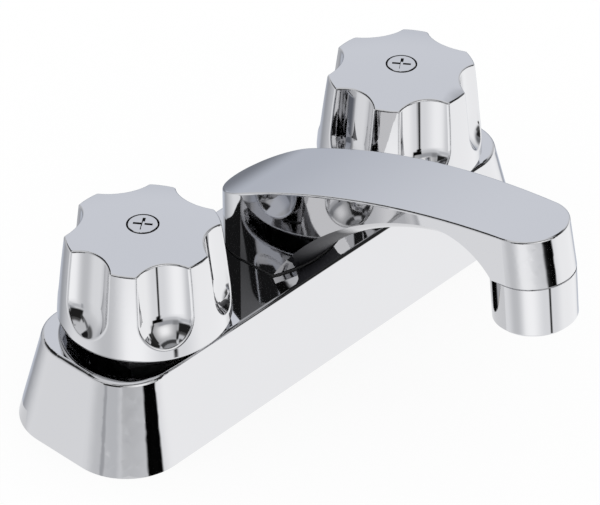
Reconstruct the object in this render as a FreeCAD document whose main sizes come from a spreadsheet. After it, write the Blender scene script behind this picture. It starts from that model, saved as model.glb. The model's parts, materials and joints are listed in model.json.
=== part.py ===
import FreeCAD, Part
import math
import os

import Sketcher

# Two-knob basin mixer tap for three deck holes, millimetres, +Z up.
# The origin is the middle of the tap's underside, +X runs from the hot knob to the cold one,
# and the spout points along -Y.

doc = FreeCAD.newDocument("basin_mixer_tap")

# Driving sizes: name, number, meaning
SIZES = [
    ("knob_spacing", "101.6", "hot knob axis to cold knob axis"),
    ("cover_overhang", "33", "knob axis to the end of the base cover at the deck"),
    ("cover_width", "51.3", "base cover, front to back at the deck"),
    ("cover_corner", "17.25", "plan corner radius at the deck"),
    ("cover_top_corner", "13.4", "plan corner radius at the top"),
    ("cover_lean_ends", "6.3", "how far each end leans in"),
    ("cover_lean_sides", "5.85", "how far the front and the back lean in"),
    ("cover_height", "26.1", "deck to the top of the base cover"),
    ("cover_wall", "2.2", "wall of the base cover"),
    ("cover_edge_round", "1.2", "rounding of the cover's top edge"),
    ("gasket_thickness", "3", "deck gasket plate"),
    ("loose_gap", "0.3", "clearance of parts that drop into or through others"),
    ("housing_radius", "11.5", "valve housing and its thread"),
    ("housing_bore", "9", "chamber that holds the cartridge"),
    ("housing_rise", "9.9", "housing thread above the cover"),
    ("foot_radius", "14", "foot of each valve housing"),
    ("shank_radius", "10.45", "threaded inlet shank"),
    ("shank_bore", "6.35", "waterway in the shank"),
    ("shank_drop", "48", "shank length below the deck"),
    ("shank_socket", "6", "depth of the shank's socket"),
    ("connector_radius", "10.25", "lower stretch that takes the supply nut"),
    ("connector_length", "14", "length of that stretch"),
    ("seat_web", "3", "web under the cartridge"),
    ("seat_orifice", "4.8", "hole through that web"),
    ("cross_radius", "6.5", "cross tube between the housings"),
    ("cross_bore", "4.2", "waterway in the cross tube"),
    ("cross_height", "17", "cross tube axis above the deck"),
    ("riser_radius", "11", "boss that takes the spout's shank"),
    ("riser_bottom", "8.6", "underside of that boss"),
    ("stem_tube_radius", "6.95", "threaded shank of the spout"),
    ("stem_tube_bore", "4.8", "waterway in that shank"),
    ("stem_tube_tail", "4.4", "its lower end above the deck"),
    ("stem_tube_grip", "8.5", "thread engaged in the spout's foot"),
    ("port_radius", "3.8", "side ports of the spout's shank"),
    ("running_gap", "0.06", "radial clearance of turning fits"),
    ("seal_section", "0.75", "section radius of the O-rings"),
    ("seat_seal_height", "1.5", "rubber seal under the fixed disc"),
    ("disc_radius", "6.5", "ceramic discs"),
    ("disc_height", "3", "thickness of each ceramic disc"),
    ("disc_port_inner", "1.8", "inner radius of the disc ports"),
    ("disc_port_outer", "5", "outer radius of the disc ports"),
    ("disc_port_angle", "76", "angle that each disc port spans, degrees"),
    ("cartridge_radius", "8", "barrel of the cartridge"),
    ("cartridge_neck", "6.2", "neck through the bonnet nut"),
    ("cartridge_neck_rise", "2.4", "neck above the flange"),
    ("flange_radius", "10.8", "clamped flange of the cartridge"),
    ("flange_height", "1.6", "thickness of that flange"),
    ("drive_room", "4.4", "cartridge space above the moving disc"),
    ("shaft_radius", "4.3", "stem shaft"),
    ("spline_radius", "4.1", "splined end of the stem"),
    ("spline_notch", "0.55", "radius of one spline notch"),
    ("spline_notches", "12", "notches round the stem"),
    ("hub_engagement", "7.9", "stem length inside the knob's hub"),
    ("drive_bar_width", "5", "bar that turns the moving disc"),
    ("drive_bar_length", "11.1", "length of that bar"),
    ("drive_slot_depth", "1", "slot in the moving disc"),
    ("clip_height", "0.8", "retaining clip thickness"),
    ("clip_radius", "6", "retaining clip outer radius"),
    ("clip_opening", "4.2", "gap in the retaining clip"),
    ("bonnet_flats", "26.5", "bonnet nut across flats"),
    ("bonnet_lip", "1.6", "top of the bonnet nut over the flange"),
    ("locknut_flats", "30", "cover locknut across flats"),
    ("locknut_height", "3.3", "cover locknut thickness"),
    ("spout_locknut_flats", "24", "spout locknut across flats"),
    ("knob_gap", "3.3", "base cover to the knob's lower edge"),
    ("knob_height", "25.95", "lower edge of the knob to its top edge"),
    ("knob_radius", "23.2", "knob at its lower edge"),
    ("knob_top_radius", "20.6", "knob at its top edge"),
    ("knob_crown", "2.1", "rise of the domed top"),
    ("knob_bow", "0.22", "outward bow of the skirt"),
    ("knob_wall", "2", "knob wall"),
    ("knob_roof", "3.1", "thickness under the top edge"),
    ("knob_lip_round", "0.9", "rounding of the lower edge"),
    ("knob_edge_round", "0.6", "rounding of the top edge"),
    ("flute_radius", "10.6", "radius of the flutes' scoop"),
    ("flute_depth", "3.85", "depth of each flute"),
    ("flute_count", "6", "flutes round the knob"),
    ("flute_end", "4.5", "lower edge of the knob to the flutes"),
    ("flute_edge_round", "1", "rounding between a flute and the skirt"),
    ("hub_radius", "6.6", "boss inside the knob"),
    ("rib_width", "1.6", "ribs inside the knob"),
    ("hub_clearance", "0.45", "retaining clip to the knob's boss"),
    ("hub_web", "2", "web of the boss under the screw head"),
    ("screw_radius", "1.95", "knob screw thread"),
    ("screw_head_radius", "3.4", "knob screw head"),
    ("screw_head_height", "2.3", "thickness of that head"),
    ("recess_length", "3.7", "cross recess in that head"),
    ("recess_width", "0.95", "width of one arm of the recess"),
    ("screw_depth", "7", "thread in the stem"),
    ("button_radius", "4.1", "index button"),
    ("button_gap", "0.28", "gap round the index button"),
    ("button_recess_length", "5.3", "cross recess in the index button"),
    ("button_recess_width", "0.8", "width of one arm of that recess"),
    ("button_recess_depth", "1.2", "depth of that recess"),
    ("button_recess_turn", "35", "turn of that recess, degrees"),
    ("spout_foot_radius", "14.5", "round back of the spout's foot"),
    ("spout_gasket_height", "0.5", "gasket under the spout"),
    ("spout_front", "12.2", "front corners of the foot ahead of its axis"),
    ("spout_front_bow", "3.2", "outward bow of the foot's front"),
    ("crown_back_height", "39.8", "top of the spout at its back"),
    ("crown_tip_rise", "14.45", "outlet seam centre to the top of the spout's tip"),
    ("crown_tip_reach", "97.1", "top edge of the tip ahead of the foot's axis"),
    ("crown_radius", "260", "long curve of the spout's top"),
    ("spout_edge_round", "0.6", "rounding of the spout's top edge"),
    ("outlet_reach", "88.9", "outlet seam centre ahead of the foot's axis"),
    ("outlet_height", "61.5", "outlet seam centre above the deck"),
    ("outlet_radius", "11.3", "outlet at its seam"),
    ("outlet_lean", "0.19", "forward run of the tip for each unit of drop"),
    ("outlet_flare", "0.03", "growth of the tip's radius for each unit of drop"),
    ("outlet_tilt", "6.5", "tilt of the outlet's axis, degrees"),
    ("outlet_overlap", "3", "depth of the tip's round block below the seam centre"),
    ("seam_back", "11.9", "start of the seam behind its centre"),
    ("arch_mid_reach", "37.2", "middle of the arch's long curve"),
    ("arch_mid_depth", "9.2", "top of the spout to the arch's side there"),
    ("arch_mid_slope", "39", "slope of the arch there, degrees"),
    ("arch_neck_reach", "61.9", "where the arch turns over"),
    ("arch_neck_rise", "5.7", "outlet seam centre to the arch's side there"),
    ("arch_neck_slope", "18", "slope of the arch there, degrees"),
    ("arch_top_reach", "70.5", "highest point of the arch"),
    ("arch_top_rise", "6.8", "outlet seam centre to the arch's side there"),
    ("arch_end_back", "3.7", "end of the arch's curve behind the outlet seam centre"),
    ("neck_belly", "6.2", "belly under the neck"),
    ("neck_mid_belly", "4.8", "belly at the middle of the arch's long curve"),
    ("neck_waterway", "2.8", "waterway radius in the neck"),
    ("waterway_mid_reach", "40", "middle of the neck's waterway"),
    ("waterway_mid_depth", "5.6", "top of the spout to the waterway's axis there"),
    ("waterway_end_back", "5.4", "end of the neck's waterway behind the outlet seam centre"),
    ("waterway_end_rise", "7.2", "outlet seam centre to the waterway's axis there"),
    ("outlet_socket_radius", "9", "threaded socket for the aerator"),
    ("outlet_socket_depth", "5", "depth of that socket"),
    ("aerator_height", "14.8", "visible height of the aerator"),
    ("aerator_tip_radius", "11.1", "aerator at its lower end"),
    ("aerator_wall", "1.2", "wall of the aerator's thread"),
    ("aerator_lip", "1.3", "inward lip at the lower end"),
    ("insert_jet_count", "8", "jets in the aerator's insert"),
    ("aerator_edge_round", "0.9", "rounding of the lower edge"),
    ("aerator_washer_height", "1", "rubber washer above the insert"),
    ("screen_height", "2", "stream former thickness"),
    ("screen_hole", "0.7", "radius of one hole in the stream former"),
    ("screen_pitch", "1.85", "hole ring to hole ring"),
    ("deck_grip", "20", "deck thickness that the nuts are shown at"),
    ("washer_radius", "19", "mounting washer"),
    ("washer_height", "1.6", "mounting washer"),
    ("wing_nut_radius", "14.5", "barrel of the mounting nut"),
    ("wing_nut_height", "10", "mounting nut"),
    ("wing_span", "44", "mounting nut over its wings"),
    ("wing_width", "5", "thickness of each wing"),
    ("wing_count", "4", "wings of the mounting nut"),
]

sheet = doc.addObject("Spreadsheet::Sheet", "sizes")
for row, (alias, number, meaning) in enumerate(SIZES, 1):
    sheet.set(f"A{row}", alias)
    sheet.set(f"B{row}", number)
    sheet.setAlias(f"B{row}", alias)
    sheet.set(f"C{row}", meaning)
doc.recompute()


class Size:
    """A length or angle that carries its number and the sheet formula that gives it."""

    def __init__(self, value, formula):
        self.value = value
        self.formula = formula

    def __add__(self, other):
        other = as_size(other)
        return Size(self.value + other.value, f"({self.formula} + {other.formula})")

    def __sub__(self, other):
        other = as_size(other)
        return Size(self.value - other.value, f"({self.formula} - {other.formula})")

    def __mul__(self, other):
        other = as_size(other)
        return Size(self.value * other.value, f"({self.formula} * {other.formula})")

    def __truediv__(self, other):
        other = as_size(other)
        return Size(self.value / other.value, f"({self.formula} / {other.formula})")

    def __neg__(self):
        return Size(-self.value, f"(0 - {self.formula})")


def well_past(size):
    """A length at which a cut surely passes through something that size wide."""
    return size * 3


def as_size(number):
    """A bare number, such as a half or a zero, as a Size."""
    return number if isinstance(number, Size) else Size(float(number), repr(number))


def root(size):
    return Size(math.sqrt(size.value), f"sqrt({size.formula})")


def cosine(angle):
    return Size(math.cos(math.radians(angle.value)), f"cos({angle.formula})")


def sine(angle):
    return Size(math.sin(math.radians(angle.value)), f"sin({angle.formula})")


def given(alias):
    """The driving size of that name."""
    return Size(float(sheet.get(alias)), f"sizes.{alias}")


ZERO = as_size(0)
COVER_HEIGHT = given("cover_height")
COVER_WALL = given("cover_wall")
COVER_UNDERSIDE = COVER_HEIGHT - COVER_WALL
LOOSE_GAP = given("loose_gap")
RUNNING_GAP = given("running_gap")
HALF_SPACING = given("knob_spacing") / 2
COVER_LENGTH = (HALF_SPACING + given("cover_overhang")) * 2
GASKET_TOP = given("gasket_thickness")
SHANK_RADIUS = given("shank_radius")
SOCKET_TOP = GASKET_TOP + given("shank_socket")
SEAT = SOCKET_TOP + given("seat_web")
HOUSING_RADIUS = given("housing_radius")
HOUSING_TOP = COVER_HEIGHT + given("housing_rise")

FIXED_DISC_BOTTOM = SEAT + given("seat_seal_height")
MOVING_DISC_BOTTOM = FIXED_DISC_BOTTOM + given("disc_height")
MOVING_DISC_TOP = MOVING_DISC_BOTTOM + given("disc_height")
DRIVE_ROOF = MOVING_DISC_TOP + given("drive_room")
FLANGE_TOP = HOUSING_TOP + given("flange_height")
BONNET_TOP = FLANGE_TOP + given("bonnet_lip")
NECK_TOP = FLANGE_TOP + given("cartridge_neck_rise")
CLIP_BOTTOM = NECK_TOP + RUNNING_GAP * 2
CLIP_TOP = CLIP_BOTTOM + given("clip_height")
SHAFT_RADIUS = given("shaft_radius")
SPLINE_RADIUS = given("spline_radius")

KNOB_BOTTOM = COVER_HEIGHT + given("knob_gap")
KNOB_EDGE = KNOB_BOTTOM + given("knob_height")
KNOB_CROWN = KNOB_EDGE + given("knob_crown")
KNOB_ROOF = KNOB_EDGE - given("knob_roof")
HUB_BOTTOM = CLIP_TOP + given("hub_clearance")
STEM_TOP = HUB_BOTTOM + given("hub_engagement")
HUB_WEB_BOTTOM = STEM_TOP + LOOSE_GAP
HUB_WEB_TOP = HUB_WEB_BOTTOM + given("hub_web")
BUTTON_LEDGE = HUB_WEB_TOP + given("screw_head_height") + LOOSE_GAP
BUTTON_RADIUS = given("button_radius")
BUTTON_HOLE = BUTTON_RADIUS + given("button_gap")

SPOUT_BOTTOM = COVER_HEIGHT + given("spout_gasket_height")
SPOUT_FOOT = given("spout_foot_radius")
STEM_TUBE = given("stem_tube_radius")
STEM_TUBE_BORE = given("stem_tube_bore")
STEM_TUBE_TOP = SPOUT_BOTTOM + given("stem_tube_grip")
OUTLET_REACH = given("outlet_reach")
OUTLET_HEIGHT = given("outlet_height")
OUTLET_TILT = given("outlet_tilt")
CROWN_TIP_HEIGHT = OUTLET_HEIGHT + given("crown_tip_rise")
PAST_THE_TIP = OUTLET_REACH + given("outlet_radius") * 3
SEAL = given("seal_section")


# Helpers that make bodies, sketches and features

def new_body(label):
    body = doc.addObject("PartDesign::Body", label)
    body.Label = label
    return body


def new_sketch(body, name, role="XY_Plane", offset=ZERO):
    """A sketch on one of the body's own origin planes, moved along that plane's normal."""
    plane = next(face for face in body.Origin.OriginFeatures if face.Role == role)
    sketch = body.newObject("Sketcher::SketchObject", name)
    sketch.AttachmentSupport = [(plane, "")]
    sketch.MapMode = "FlatFace"
    sketch.setExpression("AttachmentOffset.Base.z", offset.formula)
    sketch.AttachmentOffset = FreeCAD.Placement(FreeCAD.Vector(0, 0, offset.value), FreeCAD.Rotation())
    return sketch


def drive(sketch, kind, size, *elements):
    """Adds one dimension to the sketch and binds it to its sheet formula."""
    number = sketch.addConstraint(Sketcher.Constraint(kind, *elements, size.value))
    sketch.setExpression(f"Constraints[{number}]", size.formula)


def pin_point(sketch, edge, end, x, y):
    drive(sketch, "DistanceX", as_size(x), -1, 1, edge, end)
    drive(sketch, "DistanceY", as_size(y), -1, 1, edge, end)


def circle(sketch, radius, x=ZERO, y=ZERO):
    x, y = as_size(x), as_size(y)
    centre = FreeCAD.Vector(x.value, y.value, 0)
    edge = sketch.addGeometry(Part.Circle(centre, FreeCAD.Vector(0, 0, 1), radius.value))
    drive(sketch, "Radius", radius, edge)
    pin_point(sketch, edge, 3, x, y)


def arc_between(start, end, radius, side):
    """The short arc of that radius from start to end; side is 1 to bow left of the chord, else -1."""
    chord = end - start
    half = chord.Length / 2
    sagitta = radius - math.sqrt(radius * radius - half * half)
    left = FreeCAD.Vector(-chord.y, chord.x, 0).normalize()
    middle = (start + end) * 0.5 + left * (side * sagitta)
    return Part.ArcOfCircle(start, middle, end)


def ends_from(sketch, edge, point):
    """The numbers of an edge's two ends, the one at the point first."""
    to_start = (sketch.getPoint(edge, 1) - point).Length
    to_end = (sketch.getPoint(edge, 2) - point).Length
    return (1, 2) if to_start < to_end else (2, 1)


def outline(sketch, corners, arcs=None):
    """A closed outline through the corners; arcs gives a side's number its radius and bow side."""
    arcs = arcs or {}
    corners = [(as_size(x), as_size(y)) for x, y in corners]
    points = [FreeCAD.Vector(x.value, y.value, 0) for x, y in corners]
    count = len(points)
    ends = []
    for side in range(count):
        start, end = points[side], points[(side + 1) % count]
        if side in arcs:
            radius, bow = arcs[side]
            shape = arc_between(start, end, radius.value, bow)
            edge = sketch.addGeometry(shape)
            ends.append((edge, *ends_from(sketch, edge, start)))
            drive(sketch, "Radius", radius, edge)
        else:
            edge = sketch.addGeometry(Part.LineSegment(start, end))
            ends.append((edge, 1, 2))
    for side, (edge, first, last) in enumerate(ends):
        after, after_first, _ = ends[(side + 1) % count]
        sketch.addConstraint(Sketcher.Constraint("Coincident", edge, last, after, after_first))
        pin_point(sketch, edge, first, *corners[side])


def centred_box(sketch, length, width):
    x, y = length / 2, width / 2
    outline(sketch, [(-x, -y), (x, -y), (x, y), (-x, y)])


def rounded_box(sketch, length, width, corner):
    """A rectangle round the origin with round corners."""
    x, y = length / 2, width / 2
    inner_x, inner_y = x - corner, y - corner
    corners = [(-inner_x, -y), (inner_x, -y), (x, -inner_y), (x, inner_y),
               (inner_x, y), (-inner_x, y), (-x, inner_y), (-x, -inner_y)]
    outline(sketch, corners, {side: (corner, -1) for side in (1, 3, 5, 7)})


def pad(body, sketch, length, name, reverse=False, middle=False):
    feature = body.newObject("PartDesign::Pad", name)
    feature.Profile = sketch
    feature.setExpression("Length", length.formula)
    feature.Reversed = reverse
    feature.Midplane = middle
    return feature


def pocket(body, sketch, length, name, reverse=False, middle=False):
    """A pocket; unlike a pad it goes against the sketch's normal unless reversed."""
    before = volume_of(body)
    feature = body.newObject("PartDesign::Pocket", name)
    feature.Profile = sketch
    feature.setExpression("Length", length.formula)
    feature.Reversed = reverse
    feature.Midplane = middle
    check_cut(body, before, name)
    return feature


def revolve(body, sketch, name, axis="V_Axis"):
    feature = body.newObject("PartDesign::Revolution", name)
    feature.Profile = sketch
    feature.ReferenceAxis = (sketch, [axis])
    feature.Angle = 360
    return feature


def groove(body, sketch, name, axis="V_Axis"):
    before = volume_of(body)
    feature = body.newObject("PartDesign::Groove", name)
    feature.Profile = sketch
    feature.ReferenceAxis = (sketch, [axis])
    feature.Angle = 360
    check_cut(body, before, name)
    return feature


def loft(body, sketches, name, subtract=False, ruled=False):
    kind = "PartDesign::SubtractiveLoft" if subtract else "PartDesign::AdditiveLoft"
    feature = body.newObject(kind, name)
    feature.Profile = sketches[0]
    feature.Sections = sketches[1:]
    feature.Ruled = ruled
    return feature


def around(body, feature, count, name):
    """Repeats a feature round the body's own upright axis."""
    axis = next(line for line in body.Origin.OriginFeatures if line.Role == "Z_Axis")
    pattern = body.newObject("PartDesign::PolarPattern", name)
    pattern.Originals = [feature]
    pattern.Axis = (axis, [""])
    pattern.Angle = 360
    pattern.setExpression("Occurrences", count.formula)
    body.Tip = pattern
    return pattern


def volume_of(body):
    doc.recompute()
    return body.Shape.Volume


def check_cut(body, before, name):
    if volume_of(body) >= before:
        raise RuntimeError(f"{body.Label}: {name} removes nothing")


def edges_where(shape, wanted):
    """Names of the edges that pass the test."""
    return [f"Edge{number}" for number, edge in enumerate(shape.Edges, 1) if wanted(edge)]


def round_edges(body, radius, name, wanted):
    doc.recompute()
    base = body.Tip
    feature = body.newObject("PartDesign::Fillet", name)
    feature.Base = (base, edges_where(base.Shape, wanted))
    feature.setExpression("Radius", radius.formula)
    return feature


def turned(label, corners, arcs=None):
    """A turned piece: corners are radius and height pairs, turned about the upright axis."""
    body = new_body(label)
    sketch = new_sketch(body, label + "_profile", "XZ_Plane")
    outline(sketch, corners, arcs)
    revolve(body, sketch, label + "_turning")
    return body


def tube(label, outer, inner, bottom, top):
    return turned(label, [(inner, bottom), (outer, bottom), (outer, top), (inner, top)])


def hexagon_corner(flats):
    return flats / math.sqrt(3)


def hexagon_nut(label, flats, corners):
    """A hexagon nut: a turned blank whose outside six pockets cut flat."""
    body = turned(label, corners)
    height = corners[2][1] - corners[1][1]
    half_flat = flats / 2
    reach = hexagon_corner(flats)
    outside = well_past(reach)
    sketch = new_sketch(body, label + "_flat", "XY_Plane", as_size(corners[1][1]))
    outline(sketch, [(half_flat, -reach), (outside, -reach), (outside, reach), (half_flat, reach)])
    flat = pocket(body, sketch, height, label + "_side", reverse=True)
    around(body, flat, as_size(6), label + "_flats")
    return body


def place(piece, x=ZERO, y=ZERO, z=ZERO, tilt=None):
    """Moves a finished piece; tilt turns it about X."""
    if tilt is not None:
        turn = FreeCAD.Rotation(FreeCAD.Vector(1, 0, 0), tilt.value)
        piece.Placement = FreeCAD.Placement(FreeCAD.Vector(), turn)
        piece.setExpression("Placement.Rotation.Angle", tilt.formula)
    for axis, size in (("x", x), ("y", y), ("z", z)):
        piece.setExpression(f"Placement.Base.{axis}", as_size(size).formula)
    return piece


# Base cover: a drafted shell with round corners, open below

def make_base_cover():
    body = new_body("base_cover")
    length, width = COVER_LENGTH, given("cover_width")
    lean_ends, lean_sides = given("cover_lean_ends"), given("cover_lean_sides")
    corner, top_corner = given("cover_corner"), given("cover_top_corner")

    outside = []
    for name, level, box in (
        ("cover_foot", ZERO, (length, width, corner)),
        ("cover_top", COVER_HEIGHT, (length - lean_ends * 2, width - lean_sides * 2, top_corner)),
    ):
        sketch = new_sketch(body, name, offset=level)
        rounded_box(sketch, *box)
        outside.append(sketch)
    loft(body, outside, "cover_block", ruled=True)

    inside = []
    share = COVER_UNDERSIDE / COVER_HEIGHT
    for name, level, part_of_lean, box_corner in (
        ("hollow_foot", ZERO, ZERO, corner),
        ("hollow_top", COVER_UNDERSIDE, share, corner - (corner - top_corner) * share),
    ):
        sketch = new_sketch(body, name, offset=level)
        rounded_box(sketch, length - (lean_ends * part_of_lean + COVER_WALL) * 2,
                    width - (lean_sides * part_of_lean + COVER_WALL) * 2, box_corner - COVER_WALL)
        inside.append(sketch)
    loft(body, inside, "cover_hollow", subtract=True, ruled=True)

    holes = new_sketch(body, "cover_holes", offset=COVER_UNDERSIDE)
    for x in (-HALF_SPACING, HALF_SPACING):
        circle(holes, HOUSING_RADIUS + LOOSE_GAP, x)
    circle(holes, STEM_TUBE + LOOSE_GAP)
    pocket(body, holes, COVER_WALL, "cover_piercing", reverse=True)

    def is_top_outline(edge):
        return edge.BoundBox.ZMin > COVER_HEIGHT.value - 0.01 and len(edge.Vertexes) == 2

    round_edges(body, given("cover_edge_round"), "cover_edge", is_top_outline)
    return body


# Deck gasket: a plate inside the cover's rim, pierced by the shanks

def make_deck_gasket():
    body = new_body("deck_gasket")
    share = GASKET_TOP / COVER_HEIGHT
    shrink_x = (given("cover_lean_ends") * share + COVER_WALL + LOOSE_GAP) * 2
    shrink_y = (given("cover_lean_sides") * share + COVER_WALL + LOOSE_GAP) * 2
    sketch = new_sketch(body, "gasket_plan")
    rounded_box(sketch, COVER_LENGTH - shrink_x, given("cover_width") - shrink_y,
                given("cover_corner") - COVER_WALL - LOOSE_GAP)
    for x in (-HALF_SPACING, HALF_SPACING):
        circle(sketch, SHANK_RADIUS + LOOSE_GAP, x)
    pad(body, sketch, GASKET_TOP, "gasket_plate")
    return body


# Waterway body: two valve housings, the cross tube and the boss for the spout's shank

def make_waterway_body():
    body = new_body("waterway_body")
    both_sides = (-HALF_SPACING, HALF_SPACING)
    stages = (
        ("feet", GASKET_TOP, given("foot_radius"), SOCKET_TOP + LOOSE_GAP),
        ("housings", GASKET_TOP, HOUSING_RADIUS, HOUSING_TOP),
    )
    tube_axis = new_sketch(body, "cross_tube_section", "YZ_Plane")
    circle(tube_axis, given("cross_radius"), ZERO, given("cross_height"))
    pad(body, tube_axis, HALF_SPACING * 2, "cross_tube", middle=True)
    for name, bottom, radius, top in stages:
        sketch = new_sketch(body, name + "_plan", offset=bottom)
        for x in both_sides:
            circle(sketch, radius, x)
        pad(body, sketch, top - bottom, name)
    riser = new_sketch(body, "riser_plan", offset=given("riser_bottom"))
    circle(riser, given("riser_radius"))
    pad(body, riser, COVER_UNDERSIDE - given("riser_bottom"), "riser")

    for name, bottom, radius, top in (
        ("shank_sockets", GASKET_TOP, SHANK_RADIUS, SOCKET_TOP),
        ("orifices", SOCKET_TOP, given("seat_orifice"), SEAT),
        ("chambers", SEAT, given("housing_bore"), HOUSING_TOP),
    ):
        sketch = new_sketch(body, name + "_plan", offset=bottom)
        for x in both_sides:
            circle(sketch, radius, x)
        pocket(body, sketch, top - bottom, name, reverse=True)
    bore = new_sketch(body, "riser_bore_plan", offset=given("riser_bottom"))
    circle(bore, STEM_TUBE + RUNNING_GAP)
    pocket(body, bore, COVER_UNDERSIDE - given("riser_bottom"), "riser_bore", reverse=True)
    channel = new_sketch(body, "cross_bore_section", "YZ_Plane")
    circle(channel, given("cross_bore"), ZERO, given("cross_height"))
    pocket(body, channel, HALF_SPACING * 2, "cross_bore", middle=True)
    return body


# Spout: a tapering plan, cut by the long curve of its top and by the arch below

def tapered_plan(sketch, foot_radius, tip_radius, tip_reach):
    """Two arcs round the foot's and the tip's centres, joined by the lines that touch both."""
    slope = (foot_radius.value - tip_radius.value) / tip_reach.value
    run = math.sqrt(1 - slope * slope)
    back = Part.Arc(FreeCAD.Vector(foot_radius.value * run, -foot_radius.value * slope, 0),
                    FreeCAD.Vector(0, foot_radius.value, 0),
                    FreeCAD.Vector(-foot_radius.value * run, -foot_radius.value * slope, 0))
    tip_y = -tip_reach.value
    front = Part.Arc(FreeCAD.Vector(-tip_radius.value * run, tip_y - tip_radius.value * slope, 0),
                     FreeCAD.Vector(0, tip_y - tip_radius.value, 0),
                     FreeCAD.Vector(tip_radius.value * run, tip_y - tip_radius.value * slope, 0))
    back_edge = sketch.addGeometry(back)
    left = sketch.addGeometry(Part.LineSegment(back.EndPoint, front.StartPoint))
    front_edge = sketch.addGeometry(front)
    right = sketch.addGeometry(Part.LineSegment(front.EndPoint, back.StartPoint))
    edges = [back_edge, left, front_edge, right]
    for edge, after in zip(edges, edges[1:] + edges[:1]):
        sketch.addConstraint(Sketcher.Constraint("Tangent", edge, 2, after, 1))
    drive(sketch, "Radius", foot_radius, back_edge)
    drive(sketch, "Radius", tip_radius, front_edge)
    pin_point(sketch, back_edge, 3, ZERO, ZERO)
    pin_point(sketch, front_edge, 3, ZERO, -tip_reach)


def seam_height(reach):
    """Height of the outlet's tilted seam plane at that distance ahead of the foot's axis."""
    return OUTLET_HEIGHT + (reach - OUTLET_REACH) * (sine(OUTLET_TILT) / cosine(OUTLET_TILT))


def tip_circle(level):
    """Radius and reach of the leaning tip at one height."""
    drop = OUTLET_HEIGHT - level
    return given("outlet_radius") + given("outlet_flare") * drop, OUTLET_REACH + given("outlet_lean") * drop


def three_point_radius(first, middle, last):
    """Radius of the circle through three points of a sketch."""
    (x1, y1), (x2, y2), (x3, y3) = first, middle, last
    side_a = root((x2 - x1) * (x2 - x1) + (y2 - y1) * (y2 - y1))
    side_b = root((x3 - x2) * (x3 - x2) + (y3 - y2) * (y3 - y2))
    side_c = root((x3 - x1) * (x3 - x1) + (y3 - y1) * (y3 - y1))
    twice_area = (x2 - x1) * (y3 - y1) - (x3 - x1) * (y2 - y1)
    if twice_area.value < 0:
        twice_area = -twice_area
    return side_a * side_b * side_c / (twice_area * 2)


def crown_centre():
    """Centre of the long curve of the spout's top, as its place on Y and its height."""
    back_y, back_z = SPOUT_FOOT, given("crown_back_height")
    run, rise = -(given("crown_tip_reach") + back_y), CROWN_TIP_HEIGHT - back_z
    chord = root(run * run + rise * rise)
    radius = given("crown_radius")
    away = root(radius * radius - chord * chord / 4) / chord
    return back_y + run / 2 - rise * away, back_z + rise / 2 + run * away


def crown_height(reach):
    """Height of the spout's top at that distance ahead of the foot's axis."""
    centre_y, centre_z = crown_centre()
    across = -reach - centre_y
    radius = given("crown_radius")
    return centre_z + root(radius * radius - across * across)


def arch_section(sketch, station):
    """The arch in one upright plane; station is 0 on the middle plane and 1 at the foot's side."""
    def sagged(reach, height, slope, belly):
        half_width = SPOUT_FOOT - (SPOUT_FOOT - given("outlet_radius")) * reach / OUTLET_REACH
        ratio = SPOUT_FOOT * station / half_width
        sag = belly * (as_size(1) - ratio * ratio)
        return -(reach + sag * sine(slope)), height - sag * cosine(slope)

    mid, neck, top = given("arch_mid_reach"), given("arch_neck_reach"), given("arch_top_reach")
    mid_height = crown_height(mid) - given("arch_mid_depth")
    neck_height = OUTLET_HEIGHT + given("arch_neck_rise")
    top_height = OUTLET_HEIGHT + given("arch_top_rise")
    start = sagged(given("spout_front"), SPOUT_BOTTOM, as_size(90), given("spout_front_bow"))
    long_mid = sagged(mid, mid_height, given("arch_mid_slope"), given("neck_mid_belly"))
    turn = sagged(neck, neck_height, given("arch_neck_slope"), given("neck_belly"))
    crest = sagged(top, top_height, ZERO, given("neck_belly"))
    end_reach = OUTLET_REACH - given("arch_end_back")
    seam_allowance = LOOSE_GAP * 2
    floor = SPOUT_BOTTOM - COVER_WALL
    corners = [
        start,
        turn,
        (-end_reach, seam_height(end_reach) - seam_allowance),
        (-PAST_THE_TIP, seam_height(PAST_THE_TIP) - seam_allowance),
        (-PAST_THE_TIP, floor),
        (start[0], floor),
    ]
    outline(sketch, corners, {
        0: (three_point_radius(start, long_mid, turn), -1),
        1: (three_point_radius(turn, crest, corners[2]), -1),
    })


# Upright planes of the arch, as shares of the foot's radius from the middle plane
ARCH_STATIONS = (-1.2, -0.6, 0, 0.6, 1.2)


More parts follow.
